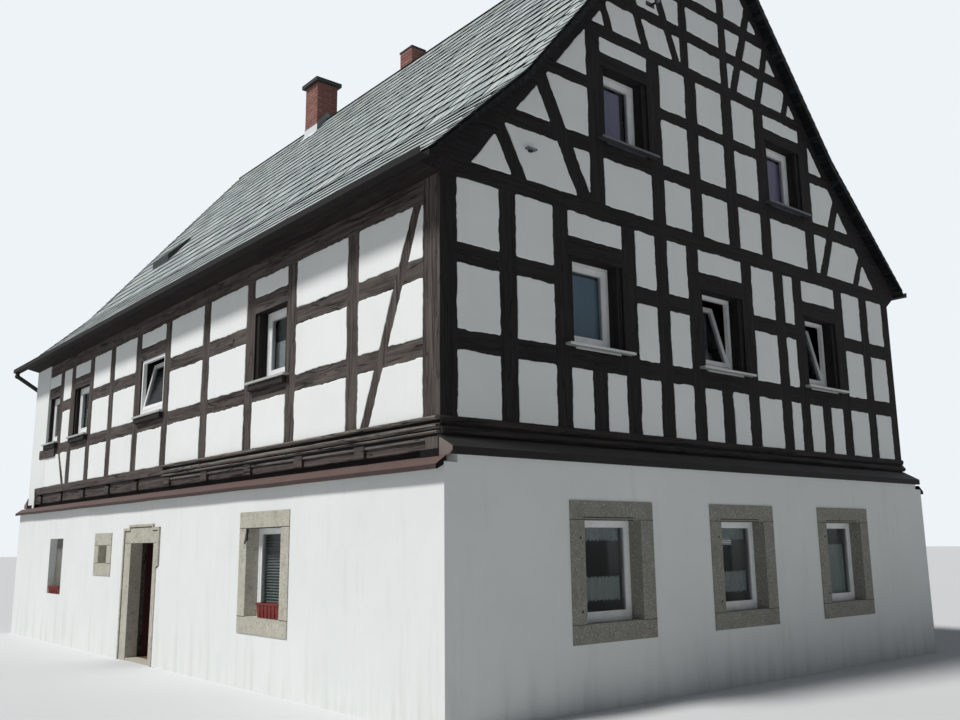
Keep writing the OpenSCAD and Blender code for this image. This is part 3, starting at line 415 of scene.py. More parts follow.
# dark slate of the underlay, also used as painted shade on the slates' edges and joints
slate_tone("dark_slate_and_painted_shade", (17, 19, 20), (27, 30, 31), 0.06)

fired_clay("brick_a", (146, 104, 95), (130, 90, 82))
fired_clay("brick_b", (138, 96, 88), (122, 84, 77))
fired_clay("brick_c", (154, 114, 105), (138, 100, 92))

glossy_paint("white_frame", (236, 238, 238), (214, 216, 214))
glossy_paint("flower_box_red", (108, 30, 23), (80, 24, 20), 0.6)
glossy_paint("blind_slats", (150, 166, 164), (120, 134, 132), 0.5)
painted_wood("door_paint", (66, 24, 28), (44, 17, 20))
painted_wood("infill_board", (118, 116, 108), (96, 94, 88))
pane_with_painted_shade("pane_with_painted_shade")

cloth("net_curtain", (206, 220, 218), (158, 174, 172))
cloth("blue_net_curtain", (150, 186, 212), (120, 152, 178))
cloth("lace_curtain", (212, 226, 224), (110, 124, 122), 90.0)
cloth("printed_curtain", (158, 164, 190), (82, 88, 116), 40.0)
cloth("lavender_curtain", (188, 188, 228), (160, 160, 206))

# what each solid of the frame is made of; the solids not named here are replaced below
DRESS = {
    "limewash": "front_wall_ground back_wall_ground left_wall_near_door left_wall_far_of_door "
        "left_wall_over_door right_wall_ground",
    "pier_plaster": "plastered_piers",
    "granite": "window_lintels_and_sills window_jambs door_lintel_and_threshold door_jambs",
    "reveal_stone_painted_shade": "door_reveals",
    "door_paint": "door_leaf",
    "floor_boards": "ground_floor door_floor upper_floor attic_floor",
    "apron_dark": "gable_aprons",
    "timber_z": "gable_posts_and_studs window_linings eaves_posts braces",
    "timber_x": "gable_sills gable_rails gable_plates gable_rafters sprockets",
    "timber_y": "bearing_plates ridge_beam eaves_plates eaves_sills eaves_rails",
    "soffit_boards": "eaves_boxing",
    "sill_metal": "window_sills",
    "white_frame": "frame_stiles frame_rails sash_stiles sash_rails",
    "pane_with_painted_shade": "window_glass",
    "dark_slate_and_painted_shade": "roof_left roof_right roof_kicks",
    "dark_zinc": "downpipes roof_hatch chimney_caps",
    "gutter_metal": "gutters",
    "iron": "door_hooks door_hardware",
    "chimney_mortar": "chimneys",
}
for kind, dressed in DRESS.items():
    for node in dressed.split():
        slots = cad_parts[node].data.materials
        slots.clear()
        slots.append(materials[kind])


# a wall's own coordinates: a along it, d inwards from the frame's face, z up
def on_wall(wall, a, d, z):
    if wall in GABLES:
        return Vector((a - HALF, FRONT_Y + d if wall == "front" else BACK_Y - d, z))
    return Vector((d - HALF if wall == "left" else HALF - d, FRONT_Y + a, z))


def to_wall(wall, point):
    return Vector((point.x + HALF if wall in GABLES else point.y - FRONT_Y, point.z))


OUT = {
    "front": Vector((0, -1, 0)),
    "back": Vector((0, 1, 0)),
    "left": Vector((-1, 0, 0)),
    "right": Vector((1, 0, 0)),
}


def uneven(*place):
    return noise.noise(Vector(place))


def skin(rows, width):
    """Faces between neighbouring rows of points, each row a closed ring."""
    return [[k * width + i, k * width + (i + 1) % width, (k + 1) * width + (i + 1) % width,
        (k + 1) * width + i] for k in range(rows - 1) for i in range(width)]


class Piece:
    """Collects points and faces, then makes one object of them."""

    def __init__(self, name, *kinds):
        self.name = name
        self.kinds = kinds
        self.points = []
        self.faces = []
        self.marks = []

    def add(self, points, faces, marks=0):
        """Adds faces. A mark is the place of a material in kinds, one for all faces or one for each."""
        start = len(self.points)
        self.points += [Vector(point) for point in points]
        self.faces += [[start + index for index in face] for face in faces]
        self.marks += [marks] * len(faces) if isinstance(marks, int) else marks

    def prism(self, ring, push, marks=0):
        """A flat ring of points pushed along a vector."""
        count = len(ring)
        near = [Vector(point) for point in ring]
        far = [point + Vector(push) for point in near]
        ends = [list(range(count)), list(range(2 * count - 1, count - 1, -1))]
        sides = [[i, i + count, (i + 1) % count + count, (i + 1) % count] for i in range(count)]
        self.add(near + far, ends + sides, marks)

    def box(self, corner, other, mark=0):
        """A box between two opposite corners."""
        (x0, x1), (y0, y1), (z0, z1) = (sorted(pair) for pair in zip(corner, other))
        self.prism([(x0, y0, z0), (x0, y1, z0), (x1, y1, z0), (x1, y0, z0)], (0, 0, z1 - z0), mark)

    def wall_box(self, wall, a0, a1, d0, d1, z0, z1, mark=0):
        self.box(on_wall(wall, a0, d0, z0), on_wall(wall, a1, d1, z1), mark)

    def sweep(self, wall, a0, a1, count, section, marks=0):
        """Joins the sections (depth, height) at even places along a wall, and closes both ends."""
        points = []
        for k in range(count + 1):
            a = a0 + (a1 - a0) * k / count
            points += [on_wall(wall, a, d, z) for d, z in section(a)]
        width = len(points) // (count + 1)
        ends = [list(range(width)), [count * width + i for i in range(width)]]
        self.add(points, ends + skin(count + 1, width), marks)

    def make(self, slot, *replaced, smooth=False, bevel=0.0):
        mesh = bpy.data.meshes.new(self.name)
        mesh.from_pydata([tuple(point) for point in self.points], [], self.faces)
        for kind in self.kinds:
            mesh.materials.append(materials[kind])
        mesh.polygons.foreach_set("material_index", self.marks)
        work = bmesh.new()
        work.from_mesh(mesh)
        bmesh.ops.recalc_face_normals(work, faces=work.faces)
        work.to_mesh(mesh)
        work.free()
        if smooth:
            mesh.shade_smooth()
        piece = bpy.data.objects.new(self.name, mesh)
        scene.collection.objects.link(piece)
        if bevel:
            modifier = piece.modifiers.new("bevel", "BEVEL")
            modifier.width = bevel
            modifier.segments = 1
        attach(piece, "house")
        if replaced:
            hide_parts(*replaced)
        return piece


def outer_regions(work, out):
    """Groups of joined faces on a mesh's outermost plane in one direction."""
    reach = max(vertex.co.dot(out) for vertex in work.verts)
    outer = [face for face in work.faces if face.normal.dot(out) > 0.99
        and abs(face.calc_center_median().dot(out) - reach) < 0.002]
    waiting = set(outer)
    regions = []
    for first in outer:
        if first not in waiting:
            continue
        waiting.discard(first)
        region = [first]
        for face in region:
            for other in (other for edge in face.edges for other in edge.link_faces):
                if other in waiting:
                    waiting.discard(other)
                    region.append(other)
        regions.append(region)
    return regions


def outlines(node, walls):
    """Outlines of a node's outer faces on each wall, as rings of (a, z)."""
    work = bmesh.new()
    work.from_mesh(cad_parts[node].data)
    bmesh.ops.remove_doubles(work, verts=work.verts, dist=1e-5)
    work.normal_update()
    found = []
    for wall in walls:
        for region in outer_regions(work, OUT[wall]):
            inside = set(region)
            follow = {}
            for loop in (loop for face in region for loop in face.loops):
                if sum(other in inside for other in loop.edge.link_faces) == 1:
                    follow[loop.vert] = loop.link_loop_next.vert
            ring = []
            vertex = next(iter(follow), None)
            while vertex in follow:
                ring.append(to_wall(wall, vertex.co))
                vertex = follow.pop(vertex)
            corners = []
            for i, point in enumerate(ring):
                before = ring[i - 1] - point
                after = ring[(i + 1) % len(ring)] - point
                if min(before.length, after.length) > 1e-4:
                    if abs(before.normalized().cross(after.normalized())) > 0.02:
                        corners.append(point)
            if len(corners) >= 3:
                found.append((wall, corners))
    work.free()
    return found


def signed_area(ring):
    return sum(ring[i - 1].x * ring[i].y - ring[i].x * ring[i - 1].y for i in range(len(ring))) / 2


def length_around(ring):
    return sum((ring[i] - ring[i - 1]).length for i in range(len(ring)))


def stretch(corners, first, last):
    """The corners from one place round to another, the last left out."""
    taken = []
    while first != last:
        taken.append(corners[first])
        first = (first + 1) % len(corners)
    return taken


SLIT = 0.012


def without_slits(corners):
    """Cuts an outline in two wherever it is pinched to a slit, and leaves out slivers."""
    count = len(corners)
    for i in range(count):
        for j in range(count):
            after = (j + 1) % count
            if i in (j, after):
                continue
            start, end = corners[j], corners[after]
            edge = end - start
            share = (corners[i] - start).dot(edge) / edge.length_squared
            foot = start + edge * share
            if 0.02 < share < 0.98 and (foot - corners[i]).length < SLIT:
                first = [foot] + stretch(corners, after, i) + [corners[i]]
                second = [foot, corners[i]] + stretch(corners, (i + 1) % count, after)
                return without_slits(first) + without_slits(second)
    kept = []
    for corner in corners:
        if not kept or (corner - kept[-1]).length > SLIT * 1.5:
            kept.append(corner)
    if len(kept) > 2 and (kept[0] - kept[-1]).length <= SLIT * 1.5:
        kept.pop()
    if len(kept) < 3 or abs(signed_area(kept)) < SLIT * length_around(kept):
        return []
    return [kept]


def moved_in(corners, distance):
    """The outline with every side moved inwards by one distance."""
    count = len(corners)
    result = []
    for i in range(count):
        before = (corners[i] - corners[i - 1]).normalized()
        after = (corners[(i + 1) % count] - corners[i]).normalized()
        left_after = Vector((-after.y, after.x))
        way = Vector((-before.y, before.x)) + left_after
        size = way.length_squared
        result.append(corners[i] + (way * (2 * distance / size) if size > 1e-6 else left_after * distance))
    return result


# unevenness of a trowelled edge: how fast each wave changes, its seed and its size in metres
EDGE_WAVES = ((3.3, 0, 0.0143), (13, 7, 0.0099), (31, 11, 0.0066))
EDGE_STEP = 0.045
CORNER_RADIUS = 0.009


def trowelled(corners, base, seed):
    """Points along an outline: rounded corners joined by uneven edges."""
    count = len(corners)
    ring = []
    for i in range(count):
        here, after = corners[i], corners[(i + 1) % count]
        length = (after - here).length
        along = (after - here) / length
        outward = Vector((along.y, -along.x))
        before = here - corners[i - 1]
        beyond = corners[(i + 2) % count] - after
        cut_start, cut_end = (min(length * 0.3, CORNER_RADIUS * math.tan(min(1.3, side.angle(along) / 2)))
            for side in (before, beyond))
        parts = max(2, int((base[(i + 1) % count] - base[i]).length / EDGE_STEP))
        for k in range(parts + 1):
            place = here + along * (cut_start + (length - cut_start - cut_end) * k / parts)
            swing = sum(uneven(place.x * pace, place.y * pace, seed + shift) * size
                for pace, shift, size in EDGE_WAVES)
            ease = 0.35 if k in (0, parts) else 1.0
            ring.append(place + outward * (0.002 + swing * ease))
    return ring


# plaster panels: a dark-painted infill behind a hand-trowelled skin that laps over the timber's edge
INFILL_DEPTH = 0.130


def plaster_panels(name, node, walls):
    piece = Piece(name, "panel_plaster", "panel_edge_paint")
    number = 0
    for wall, corners in outlines(node, walls):
        if signed_area(corners) < 0:
            corners = corners[::-1]
        piece.prism([on_wall(wall, p.x, RECESS, p.y) for p in corners], -OUT[wall] * INFILL_DEPTH, 1)
        for part in without_slits(corners):
            number += 1
            width = abs(signed_area(part)) / length_around(part) * 2
            points = []
            levels = ((0.0, RECESS - 0.001), (0.0, -0.004), (min(0.004, width * 0.1), -0.0075),
                (min(0.020, width * 0.3), -0.0085))
            for step_in, depth in levels:
                ring = trowelled(moved_in(part, step_in), part, number * 1.7)
                points.extend(on_wall(wall, p.x, depth, p.y) for p in ring)
            count = len(ring)
            last = (len(levels) - 1) * count
            piece.add(points, skin(len(levels), count) + [[last + i for i in range(count)]])
    piece.make("panel_plaster", node)


plaster_panels("gable_plaster", "gable_panels", GABLES)
plaster_panels("eaves_plaster", "eaves_panels", LONG_WALLS)

# slates: real courses over the slopes, each slate lifted at its lower edge
MAIN_COURSE = 0.32
KICK_COURSE = 0.278
SLATE_THICK = 0.010
SLATE_GAP = 0.005
SLATE_WIDTHS = (0.26, 0.29, 0.31, 0.33, 0.36)
# a slate's lap over the one above, and how high its head and foot lie, at the verges too
SLATE_LAP, RIDGE_CLEAR = 0.07, 0.02
HEAD_LIFT, FOOT_LIFT = 0.0005, 0.0135
VERGE_HEAD, VERGE_FOOT = 0.016, 0.028
EAVES_COURSES = 6
# the mark of the dark slate tone: the underlay, and painted shade on the slates' edges and in their joints
SLATE_SHADE = len(SLATES)


def roof_point(side, run, y, lift):
    """A point of the slope at a distance down the slope from the ridge, raised square to it."""
    pitch, upper, start = PITCH, 0.0, 0.0
    if run > MAIN_RUN[side]:
        (upper, pitch), start = KICK[side], MAIN_RUN[side]
    size = math.hypot(1, pitch)
    over = (run - start) / size
    d = upper + over + lift * pitch / size
    z = RIDGE_TOP - PITCH * upper - pitch * over + lift / size
    return Vector((-d if side == "left" else d, y, z))


def slate_courses(side):
    """Upper and lower ends of the courses as distances down the slope."""
    main = MAIN_RUN[side]
    kick = (EDGE_D - KICK[side][0]) * math.hypot(1, KICK[side][1])
    courses = []
    for start, length, course in ((0.0, main, MAIN_COURSE), (main, kick, KICK_COURSE)):
        count = round(length / course)
        courses += [(start + length * k / count, start + length * (k + 1) / count) for k in range(count)]
    return courses


def slate(piece, side, top, bottom, y0, y1, low, high, turn, pick, trim, lean=0.0):
    """One slate from its hidden top to its lower edge, its near side lifted where it laps over the next."""
    corners = [(top, y0), (top, y1), (bottom - trim, y1), (bottom, y1 - trim), (bottom, y0 + trim),
        (bottom - trim, y0)]
    middle = (y0 + y1) / 2

    def place(run, y, thick):
        share = (run - top) / (bottom - top)
        lift = lean * share * (y1 - y) / (y1 - y0) if thick else 0.0
        return roof_point(side, run + (y - middle) * turn, y, low + (high - low) * share + thick + lift)

    points = [place(run, y, thick) for thick in (SLATE_THICK, 0) for run, y in corners]
    count = len(corners)
    # the top takes the slate's tone, the edges the dark one as painted shade
    piece.add(points, [list(range(count))] + skin(2, count), [pick] + [SLATE_SHADE] * count)


def painted_joint_shadow(piece, side, top, bottom, y):
    """A painted shadow of the gap between two slates: a flat dark strip just above them, wider at its foot
    where their corners are worn off.
    """
    gap, foot, low, high = 0.012, 0.048, bottom - 0.055, bottom - 0.038
    outline = [(top - 0.02, -gap), (top - 0.02, gap), (low, gap), (high, foot), (bottom - 0.002, foot),
        (bottom - 0.002, -foot), (high, -foot), (low, -gap)]
    points = [roof_point(side, run, y + shift, 0.011 + 0.005 * (run - top) / (bottom - top))
        for run, shift in outline]
    piece.add(points, [list(range(len(outline)))], SLATE_SHADE)


def slates(side, seed):
    chance = random.Random(seed)
    piece = Piece("slates_" + side, *SLATES, "dark_slate_and_painted_shade")
    verge = VERGE[side] + 0.004
    end = cad_hi[1] - 0.004
    courses = slate_courses(side)
    last = len(courses) - 1
    for number, (top, bottom) in enumerate(courses):
        y = verge - chance.uniform(0.0, 0.2)
        jog = chance.uniform(-0.006, 0.006)
        while y < end - 0.02:
            width = chance.choice(SLATE_WIDTHS) * chance.uniform(0.95, 1.05)
            y0 = max(verge, y)
            y1 = min(end, y + width)
            if y1 - y0 > 0.05:
                drop = jog + chance.uniform(-0.007, 0.007)
                lower = bottom + drop if number < last else bottom - 0.004
                lapped = 0.0
                if number < len(courses) - EAVES_COURSES:
                    lapped = 1.0 - 0.65 * (y0 - verge) / (end - verge)
                upper = max(RIDGE_CLEAR, top - (SLATE_LAP if number else 0.0))
                slate(piece, side, upper, lower, y0 + SLATE_GAP, y1 - SLATE_GAP, HEAD_LIFT,
                    FOOT_LIFT + chance.uniform(0.0, 0.007),
                    chance.uniform(-0.008, 0.008), chance.choice((0, 0, 1, 1, 2, 3)),
                    chance.uniform(0.020, 0.040), chance.uniform(0.005, 0.015) * lapped)
                if number and y1 < end - 0.06:
                    painted_joint_shadow(piece, side, top, lower, y1)
            y += width
    for at_front in (True, False):
        for number, (top, bottom) in enumerate(courses):
            for half in (0, 1):
                upper = top + (bottom - top) * half / 2
                lower = top + (bottom - top) * (half + 1) / 2
                reach = chance.uniform(0.17, 0.25)
                y0, y1 = (verge, verge + reach) if at_front else (end - reach, end)
                if number < last or half == 0:
                    lower += chance.uniform(-0.004, 0.01)
                slate(piece, side, max(RIDGE_CLEAR, upper - 0.06), lower, y0, y1, VERGE_HEAD,
                    VERGE_FOOT + chance.uniform(0.0, 0.004), 0.0, chance.choice((0, 1, 2, 3)), 0.010)
    piece.make("slate")


slates("left", 11)
slates("right", 23)

# ridge: a course of slates on each slope, the right one standing over the left one's edge
RIDGE_CAP_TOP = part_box("ridge_cap")[1][2]
RIDGE_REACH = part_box("ridge_cap")[1][0]


def ridge_slates():
    chance = random.Random(31)
    piece = Piece("ridge_slates", *SLATES, "dark_slate_and_painted_shade", "ridge_slate")
    for side, sign, top, inner in (("left", -1, RIDGE_CAP_TOP - 0.030, 0.006),
            ("right", 1, RIDGE_CAP_TOP, -0.020)):
        for first, last in ((VERGE[side], BIG_STACK[2]), (BIG_STACK[3], cad_hi[1])):
            y = first
            while y < last - 0.05:
                wide = min(chance.uniform(0.15, 0.21), last - y)
                outer = sign * (RIDGE_REACH - chance.uniform(0.0, 0.006))
                low = RIDGE_TOP - PITCH * RIDGE_REACH + 0.030 + chance.uniform(0.0, 0.010)
                ring = [(sign * inner, y, top - 0.012), (sign * inner, y, top), (outer, y, low + 0.008),
                    (outer, y, low - 0.020)]
                pick = chance.choice((0, 1, 3, 5, 5))
                # the ridge slates' edges and underside take the dark tone: painted shade
                piece.prism(ring, (0, wide - 0.004, 0), [SLATE_SHADE, SLATE_SHADE, SLATE_SHADE, pick, SLATE_SHADE, SLATE_SHADE])
                y += wide
    piece.make("slate", "ridge_cap")


ridge_slates()

# moulded sills: swept rolls, weathered and uneven, as lower and upper ends below the sill's top and reach
FRONT_ROLLS = [(0.082, 0.0, 0.030), (0.188, 0.112, 0.060)]
# the long walls' rolls have a roughness too
SIDE_ROLLS = [(0.046, 0.0, 0.070, 0.018), (0.138, 0.082, 0.062, 0.010), (0.183, 0.152, 0.046, 0.007),
    (0.246, 0.208, 0.012, 0.004)]
COVE = [(0.0, -0.215), (-0.014, -0.210), (-0.020, -0.150), (-0.012, -0.050), (0.0, -0.030)]
BAND = [(0.0, -0.150), (-0.026, -0.146), (-0.030, -0.120), (-0.030, -0.030), (-0.024, -0.004), (0.0, 0.0)]
MOULDING_LENGTH = 7.2
SKIRT = 0.430
SWEEP_STEP = 0.07


def roll_section(low, high, reach):
    """Points of a roll's section, as depth and height against the sill's top."""
    middle = (low + high) / 2
    half = (low - high) / 2
    ring = [(0.0, -low)]
    for k in range(7):
        angle = -math.pi / 2 + math.pi * k / 6
        ring.append((-reach * (0.35 + 0.65 * math.cos(angle)), -middle + half * math.sin(angle)))
    ring.append((0.0, -high))
    return ring


def swept_roll(piece, wall, profile, start, end, seed, rough, mark=0):
    """A worn moulding; only the profile's two ends stay in place."""
    def section(a):
        for j, (d, z) in enumerate(profile):
            wear = uneven(a * 1.7, j * 0.35, seed) * rough
            wear += uneven(a * 7.0, j * 0.9, seed + 3) * rough * 0.6
            worn = 0.0 if j in (0, len(profile) - 1) else min(0.0, wear) * 1.2 - 0.001
            yield d - worn * 0.8, SILL_TOP + z + worn * 0.3

    piece.sweep(wall, start, end, max(2, int((end - start) / SWEEP_STEP)), section, mark)


mouldings = Piece("weathered_mouldings", "moulding_timber", "moulding_timber_front", "painted_shade_timber",
    "filler_timber")
for number, wall in enumerate(GABLES):
    for k, roll in enumerate(FRONT_ROLLS):
        swept_roll(mouldings, wall, roll_section(*roll), 0.0, WIDTH, number * 5 + k, 0.006, 1)
for number, wall in enumerate(LONG_WALLS):
    for k, (*roll, rough) in enumerate(SIDE_ROLLS):
        swept_roll(mouldings, wall, roll_section(*roll), 0.0, MOULDING_LENGTH, 20 + number * 5 + k, rough)
    # the cove under the rolls takes the near-black timber: painted shade
    swept_roll(mouldings, wall, COVE, 0.004, MOULDING_LENGTH - 0.004, 30 + number, 0.003, 2)
    swept_roll(mouldings, wall, BAND, MOULDING_LENGTH, LENGTH - SKIRT, 40 + number, 0.012, 3)
mouldings.make("grey_timber", "sill_mouldings")

# beams of the upper floor: middle of the first, spacing and width, and the fillers between them
FIRST_BEAM, BEAM_SPACING, BEAM_WIDTH = 1.475, 1.392, 0.210
BEAM_LOW, FILLER_TOP, FILLER_BACK = SILL_TOP - 0.345, SILL_TOP - 0.150, 0.190
beams = []
place = FIRST_BEAM
while place <= LENGTH - SKIRT - BEAM_WIDTH:
    beams.append(place)
    place += BEAM_SPACING
sides = [beam + side for beam in beams for side in (-BEAM_WIDTH / 2, BEAM_WIDTH / 2)]
edges = [FILLER_BACK, *sides, LENGTH - FILLER_BACK]


def rough_board(piece, wall, a0, a1, low, high, face, back, seed, wear=0.010, step=0.07, mark=0):
    """A hewn board between two places along the wall: its face is uneven and its lower edge worn."""
    rows = (low, low + 0.012, low + (high - low) * 0.35, low + (high - low) * 0.7, high - 0.008, high)

    def section(a):
        yield back, low
        for j, z in enumerate(rows):
            rough = uneven(a * 2.6, j * 0.8, seed) + 0.5 * uneven(a * 12, j * 1.9, seed)
            lift = abs(uneven(a * 5.0, 3.0, seed)) * wear * 1.5 if z == low else 0.0
            yield face + (rough * 0.5 + 0.5) * wear + (0.008 if z in (low, high) else 0), z + lift
        yield back, high

    piece.sweep(wall, a0, a1, max(3, int((a1 - a0) / step)), section, mark)


fillers = Piece("hewn_fillers", "filler_timber")
for number, wall in enumerate(LONG_WALLS):
    for k in range(0, len(edges), 2):
        rough_board(fillers, wall, edges[k] + 0.006, edges[k + 1] - 0.006, BEAM_LOW, FILLER_TOP, 0.008,
            FILLER_BACK, number * 31 + k)
fillers.make("grey_timber", "beam_fillers")

ends = Piece("hewn_beam_ends", "filler_timber", "corner_end_timber")
for number, wall in enumerate(LONG_WALLS):
    for k, beam in enumerate(beams):
        rough_board(ends, wall, beam - BEAM_WIDTH / 2 + 0.003, beam + BEAM_WIDTH / 2 - 0.003, BEAM_LOW,
            SILL_TOP - 0.195, -0.025, FILLER_BACK, 60 + number * 31 + k, 0.006, 0.05)
    for k, a in enumerate((0.113, LENGTH - 0.113)):
        rough_board(ends, wall, a - 0.110, a + 0.110, BEAM_LOW, SILL_TOP - 0.205, -0.018, 0.10,
            90 + number * 3 + k, 0.006, 0.04, 1)
ends.make("grey_timber", "beam_ends")

# sloping aprons of the long walls, with a slightly wavy lip, and the dark gap above them; the underside,
# the ends and the corner blocks above are near-black as painted shade
APRON = [(-0.078, 2.612), (-0.095, 2.604), (-0.205, 2.526), (-0.211, 2.520), (-0.211, 2.478),
    (-0.196, 2.476), (-0.190, 2.506), (-0.111, 2.556), (-0.078, 2.560)]
# the lip's faces take the darker red as painted shade, and the underside the near-black timber as painted
# shade
APRON_MARKS = [0, 0, 2, 2, 2, 2, 1, 1, 1]
APRON_LIP = range(2, 7)
APRON_END = [(-0.111, 2.594), (-0.205, 2.526), (-0.208, 2.478), (-0.190, 2.476), (-0.111, 2.520)]
APRON_BACK = [(0.060, 2.640), (-0.080, 2.610), (-0.080, 2.560), (0.060, 2.560)]
APRON_REACH = 0.206
BLOCK_REACH, BLOCK_LENGTH = 0.028, 0.30
aprons = Piece("side_aprons", "apron_red", "painted_shade_timber", "apron_lip_painted_shade")
for number, wall in enumerate(LONG_WALLS):
    def lip(a):
        sag = uneven(a * 0.8, number * 9.0, 2.0) * 0.007
        return [(d + sag * 0.6, z + sag) if j in APRON_LIP else (d, z) for j, (d, z) in enumerate(APRON)]

    first, last = -APRON_REACH, LENGTH + APRON_REACH
    count = int((last - first) / 0.16)
    aprons.sweep(wall, first, last, count, lip, [1, 1] + APRON_MARKS * count)
    # the ends are closed in the near-black timber: painted shade
    for a in (first + 0.002, last - 0.006):
        aprons.prism([on_wall(wall, a, d, z) for d, z in APRON_END], (0, 0.004, 0), 1)
    aprons.prism([on_wall(wall, 0.0, d, z) for d, z in APRON_BACK], (0, LENGTH, 0))
    # near-black blocks at the corners: painted shade between the apron and the beams
    for a0, a1 in ((-BLOCK_REACH, BLOCK_LENGTH), (LENGTH - BLOCK_LENGTH, LENGTH + BLOCK_REACH)):
        aprons.wall_box(wall, a0, a1, -0.024, 0.10, 2.60, 2.693, 1)
aprons.make("red_apron", "eaves_aprons")

# boards that close the ends of the gable aprons at the corners
CHEEK = [(-0.030, 2.620), (-0.030, 2.812), (-0.050, 2.806), (-0.247, 2.708), (-0.247, 2.664),
    (-0.176, 2.626), (-0.080, 2.618)]
CHEEK_THICK = 0.004
cheeks = Piece("apron_cheeks", "cheek_board")
for wall in GABLES:
    for a in (-0.030, WIDTH + 0.030 + CHEEK_THICK):
        cheeks.prism([on_wall(wall, a, d, z) for d, z in CHEEK], (-CHEEK_THICK, 0, 0))
cheeks.make("gable_apron_metal")

# joints of the window stones and the iron pins in their jambs
JOINT_PROUD, JOINT_DEPTH, JOINT_HALF, JOINT_OVER = 0.0015, 0.042, 0.0035, 0.002
PIN_HEIGHTS, PIN_INSET, PIN_RADIUS = (1.03, 1.81), 0.068, 0.014
joints = Piece("stone_joints", "mortar_and_painted_shade", "iron")


def joint_lines(wall, clear, heights, jamb, face):
    """Joints above the sill and below the lintel, across both jambs."""
    a0, a1 = clear
    for z in heights:
        for b0, b1 in ((a0 - jamb, a0), (a1, a1 + jamb)):
            joints.wall_box(wall, b0 - JOINT_OVER, b1 + JOINT_OVER, face - JOINT_PROUD, face + JOINT_DEPTH,
                z - JOINT_HALF, z + JOINT_HALF)


def circle(middle, z, radius, count=10):
    angles = [2 * math.pi * k / count for k in range(count)]
    return [(middle + radius * math.cos(angle), z + radius * math.sin(angle)) for angle in angles]


for wall in GABLES:
    for middle in FRONT_WINDOWS:
        clear = (middle - FRONT_CLEAR / 2, middle + FRONT_CLEAR / 2)
        joint_lines(wall, clear, (0.895, 2.005), 0.218, FRONT_STONE)
        for z in PIN_HEIGHTS:
            ring = [on_wall(wall, a, FRONT_STONE - 0.003, height)
                for a, height in circle(clear[0] - PIN_INSET, z, PIN_RADIUS)]
            joints.prism(ring, OUT[wall] * -0.02, 1)
for wall in LONG_WALLS:
    joint_lines(wall, NEAR_WINDOW, (0.880, 1.990), 0.205, SIDE_STONE)
    joint_lines(wall, SMALL_WINDOW, (1.502, 1.810), 0.215, SIDE_STONE)
joints.make("granite")

# chimneys: bricks laid in courses round a core of mortar
COURSE, BRICK, MORTAR = 0.0775, 0.250, 0.011
bricks = Piece("chimney_bricks", "chimney_mortar", "brick_a", "brick_b", "brick_c")
chance = random.Random(5)


def roof_height(x):
    return RIDGE_TOP - PITCH * abs(x)


def brick_stack(x0, x1, y0, y1, low, high):
    z = low
    shift = 0.0
    while z < high - 0.01:
        top = min(high, z + COURSE) - MORTAR
        for axis, first, last in (("x", x0, x1), ("y", y0, y1)):
            place = first - shift
            while place < last - 0.01:
                b0, b1 = max(first, place) + MORTAR / 2, min(last, place + BRICK) - MORTAR / 2
                place += BRICK
                if b1 - b0 < 0.03:
                    continue
                for sign, x, y in ((-1, x0, y0), (1, x1, y1)):
                    proud = sign * (0.004 + chance.uniform(0.0, 0.002))
                    mark = chance.choice((1, 1, 2, 2, 3))
                    if axis == "x":
                        roof = max(roof_height(b0), roof_height(b1))
                        corners = ((b0, y, z), (b1, y + proud, top))
                    else:
                        roof = roof_height(x)
                        corners = ((x, b0, z), (x + proud, b1, top))
                    if roof - 0.10 < top:
                        bricks.box(*corners, mark)
        z += COURSE
        shift = BRICK / 2 - shift


brick_stack(*BIG_STACK)
brick_stack(*SMALL_STACK)
bricks.make("brick")

# lead at the chimneys' feet: lighter on the slopes below and above as painted light, darker along the
# sloping sides as painted shade
LEAD, LEAD_OFF = 0.003, 0.008
SIDE_RISE, SIDE_SPREAD, SLOPE_RISE = 0.20, 0.14, 0.24
flashing = Piece("chimney_flashing", "lead_painted_light", "lead_painted_shade_and_lamp_metal")


def flashing_side(x, y0, y1, sign):
    z = roof_height(x)
    near = x + sign * LEAD_OFF
    flashing.box((near, y0 - 0.02, z - 0.03), (near + sign * LEAD, y1 + 0.02, z + SIDE_RISE))
    far = x + sign * SIDE_SPREAD
    foot = roof_height(far) + 0.040
    flashing.prism([(near, y0 - 0.05, z + 0.035), (near, y1 + 0.05, z + 0.035), (far, y1 + 0.05, foot),
        (far, y0 - 0.05, foot)], (0, 0, LEAD))


def flashing_slope(x0, x1, y, sign):
    near = y + sign * LEAD_OFF
    for a, b in ((x0, min(x1, 0.0)), (max(x0, 0.0), x1)):
        if b - a < 0.02:
            continue
        share = 1.0 if b <= 0.0 else 0.45
        tops = [RIDGE_TOP - PITCH * abs(end) * share + SLOPE_RISE for end in (a, b)]
        ring = [(a, near, roof_height(a) - 0.02), (b, near, roof_height(b) - 0.02), (b, near, tops[1]),
            (a, near, tops[0])]
        # the darker lead: painted shade
        flashing.prism(ring, (0, sign * LEAD, 0), 1)


for x0, x1, y0, y1, low, high in (BIG_STACK, SMALL_STACK):
    for sign, x, y in ((-1, x0, y0), (1, x1, y1)):
        flashing_side(x, y0, y1, sign)
        flashing_slope(x0 - 0.01, x1 + 0.01, y, sign)
flashing.make("light_metal")

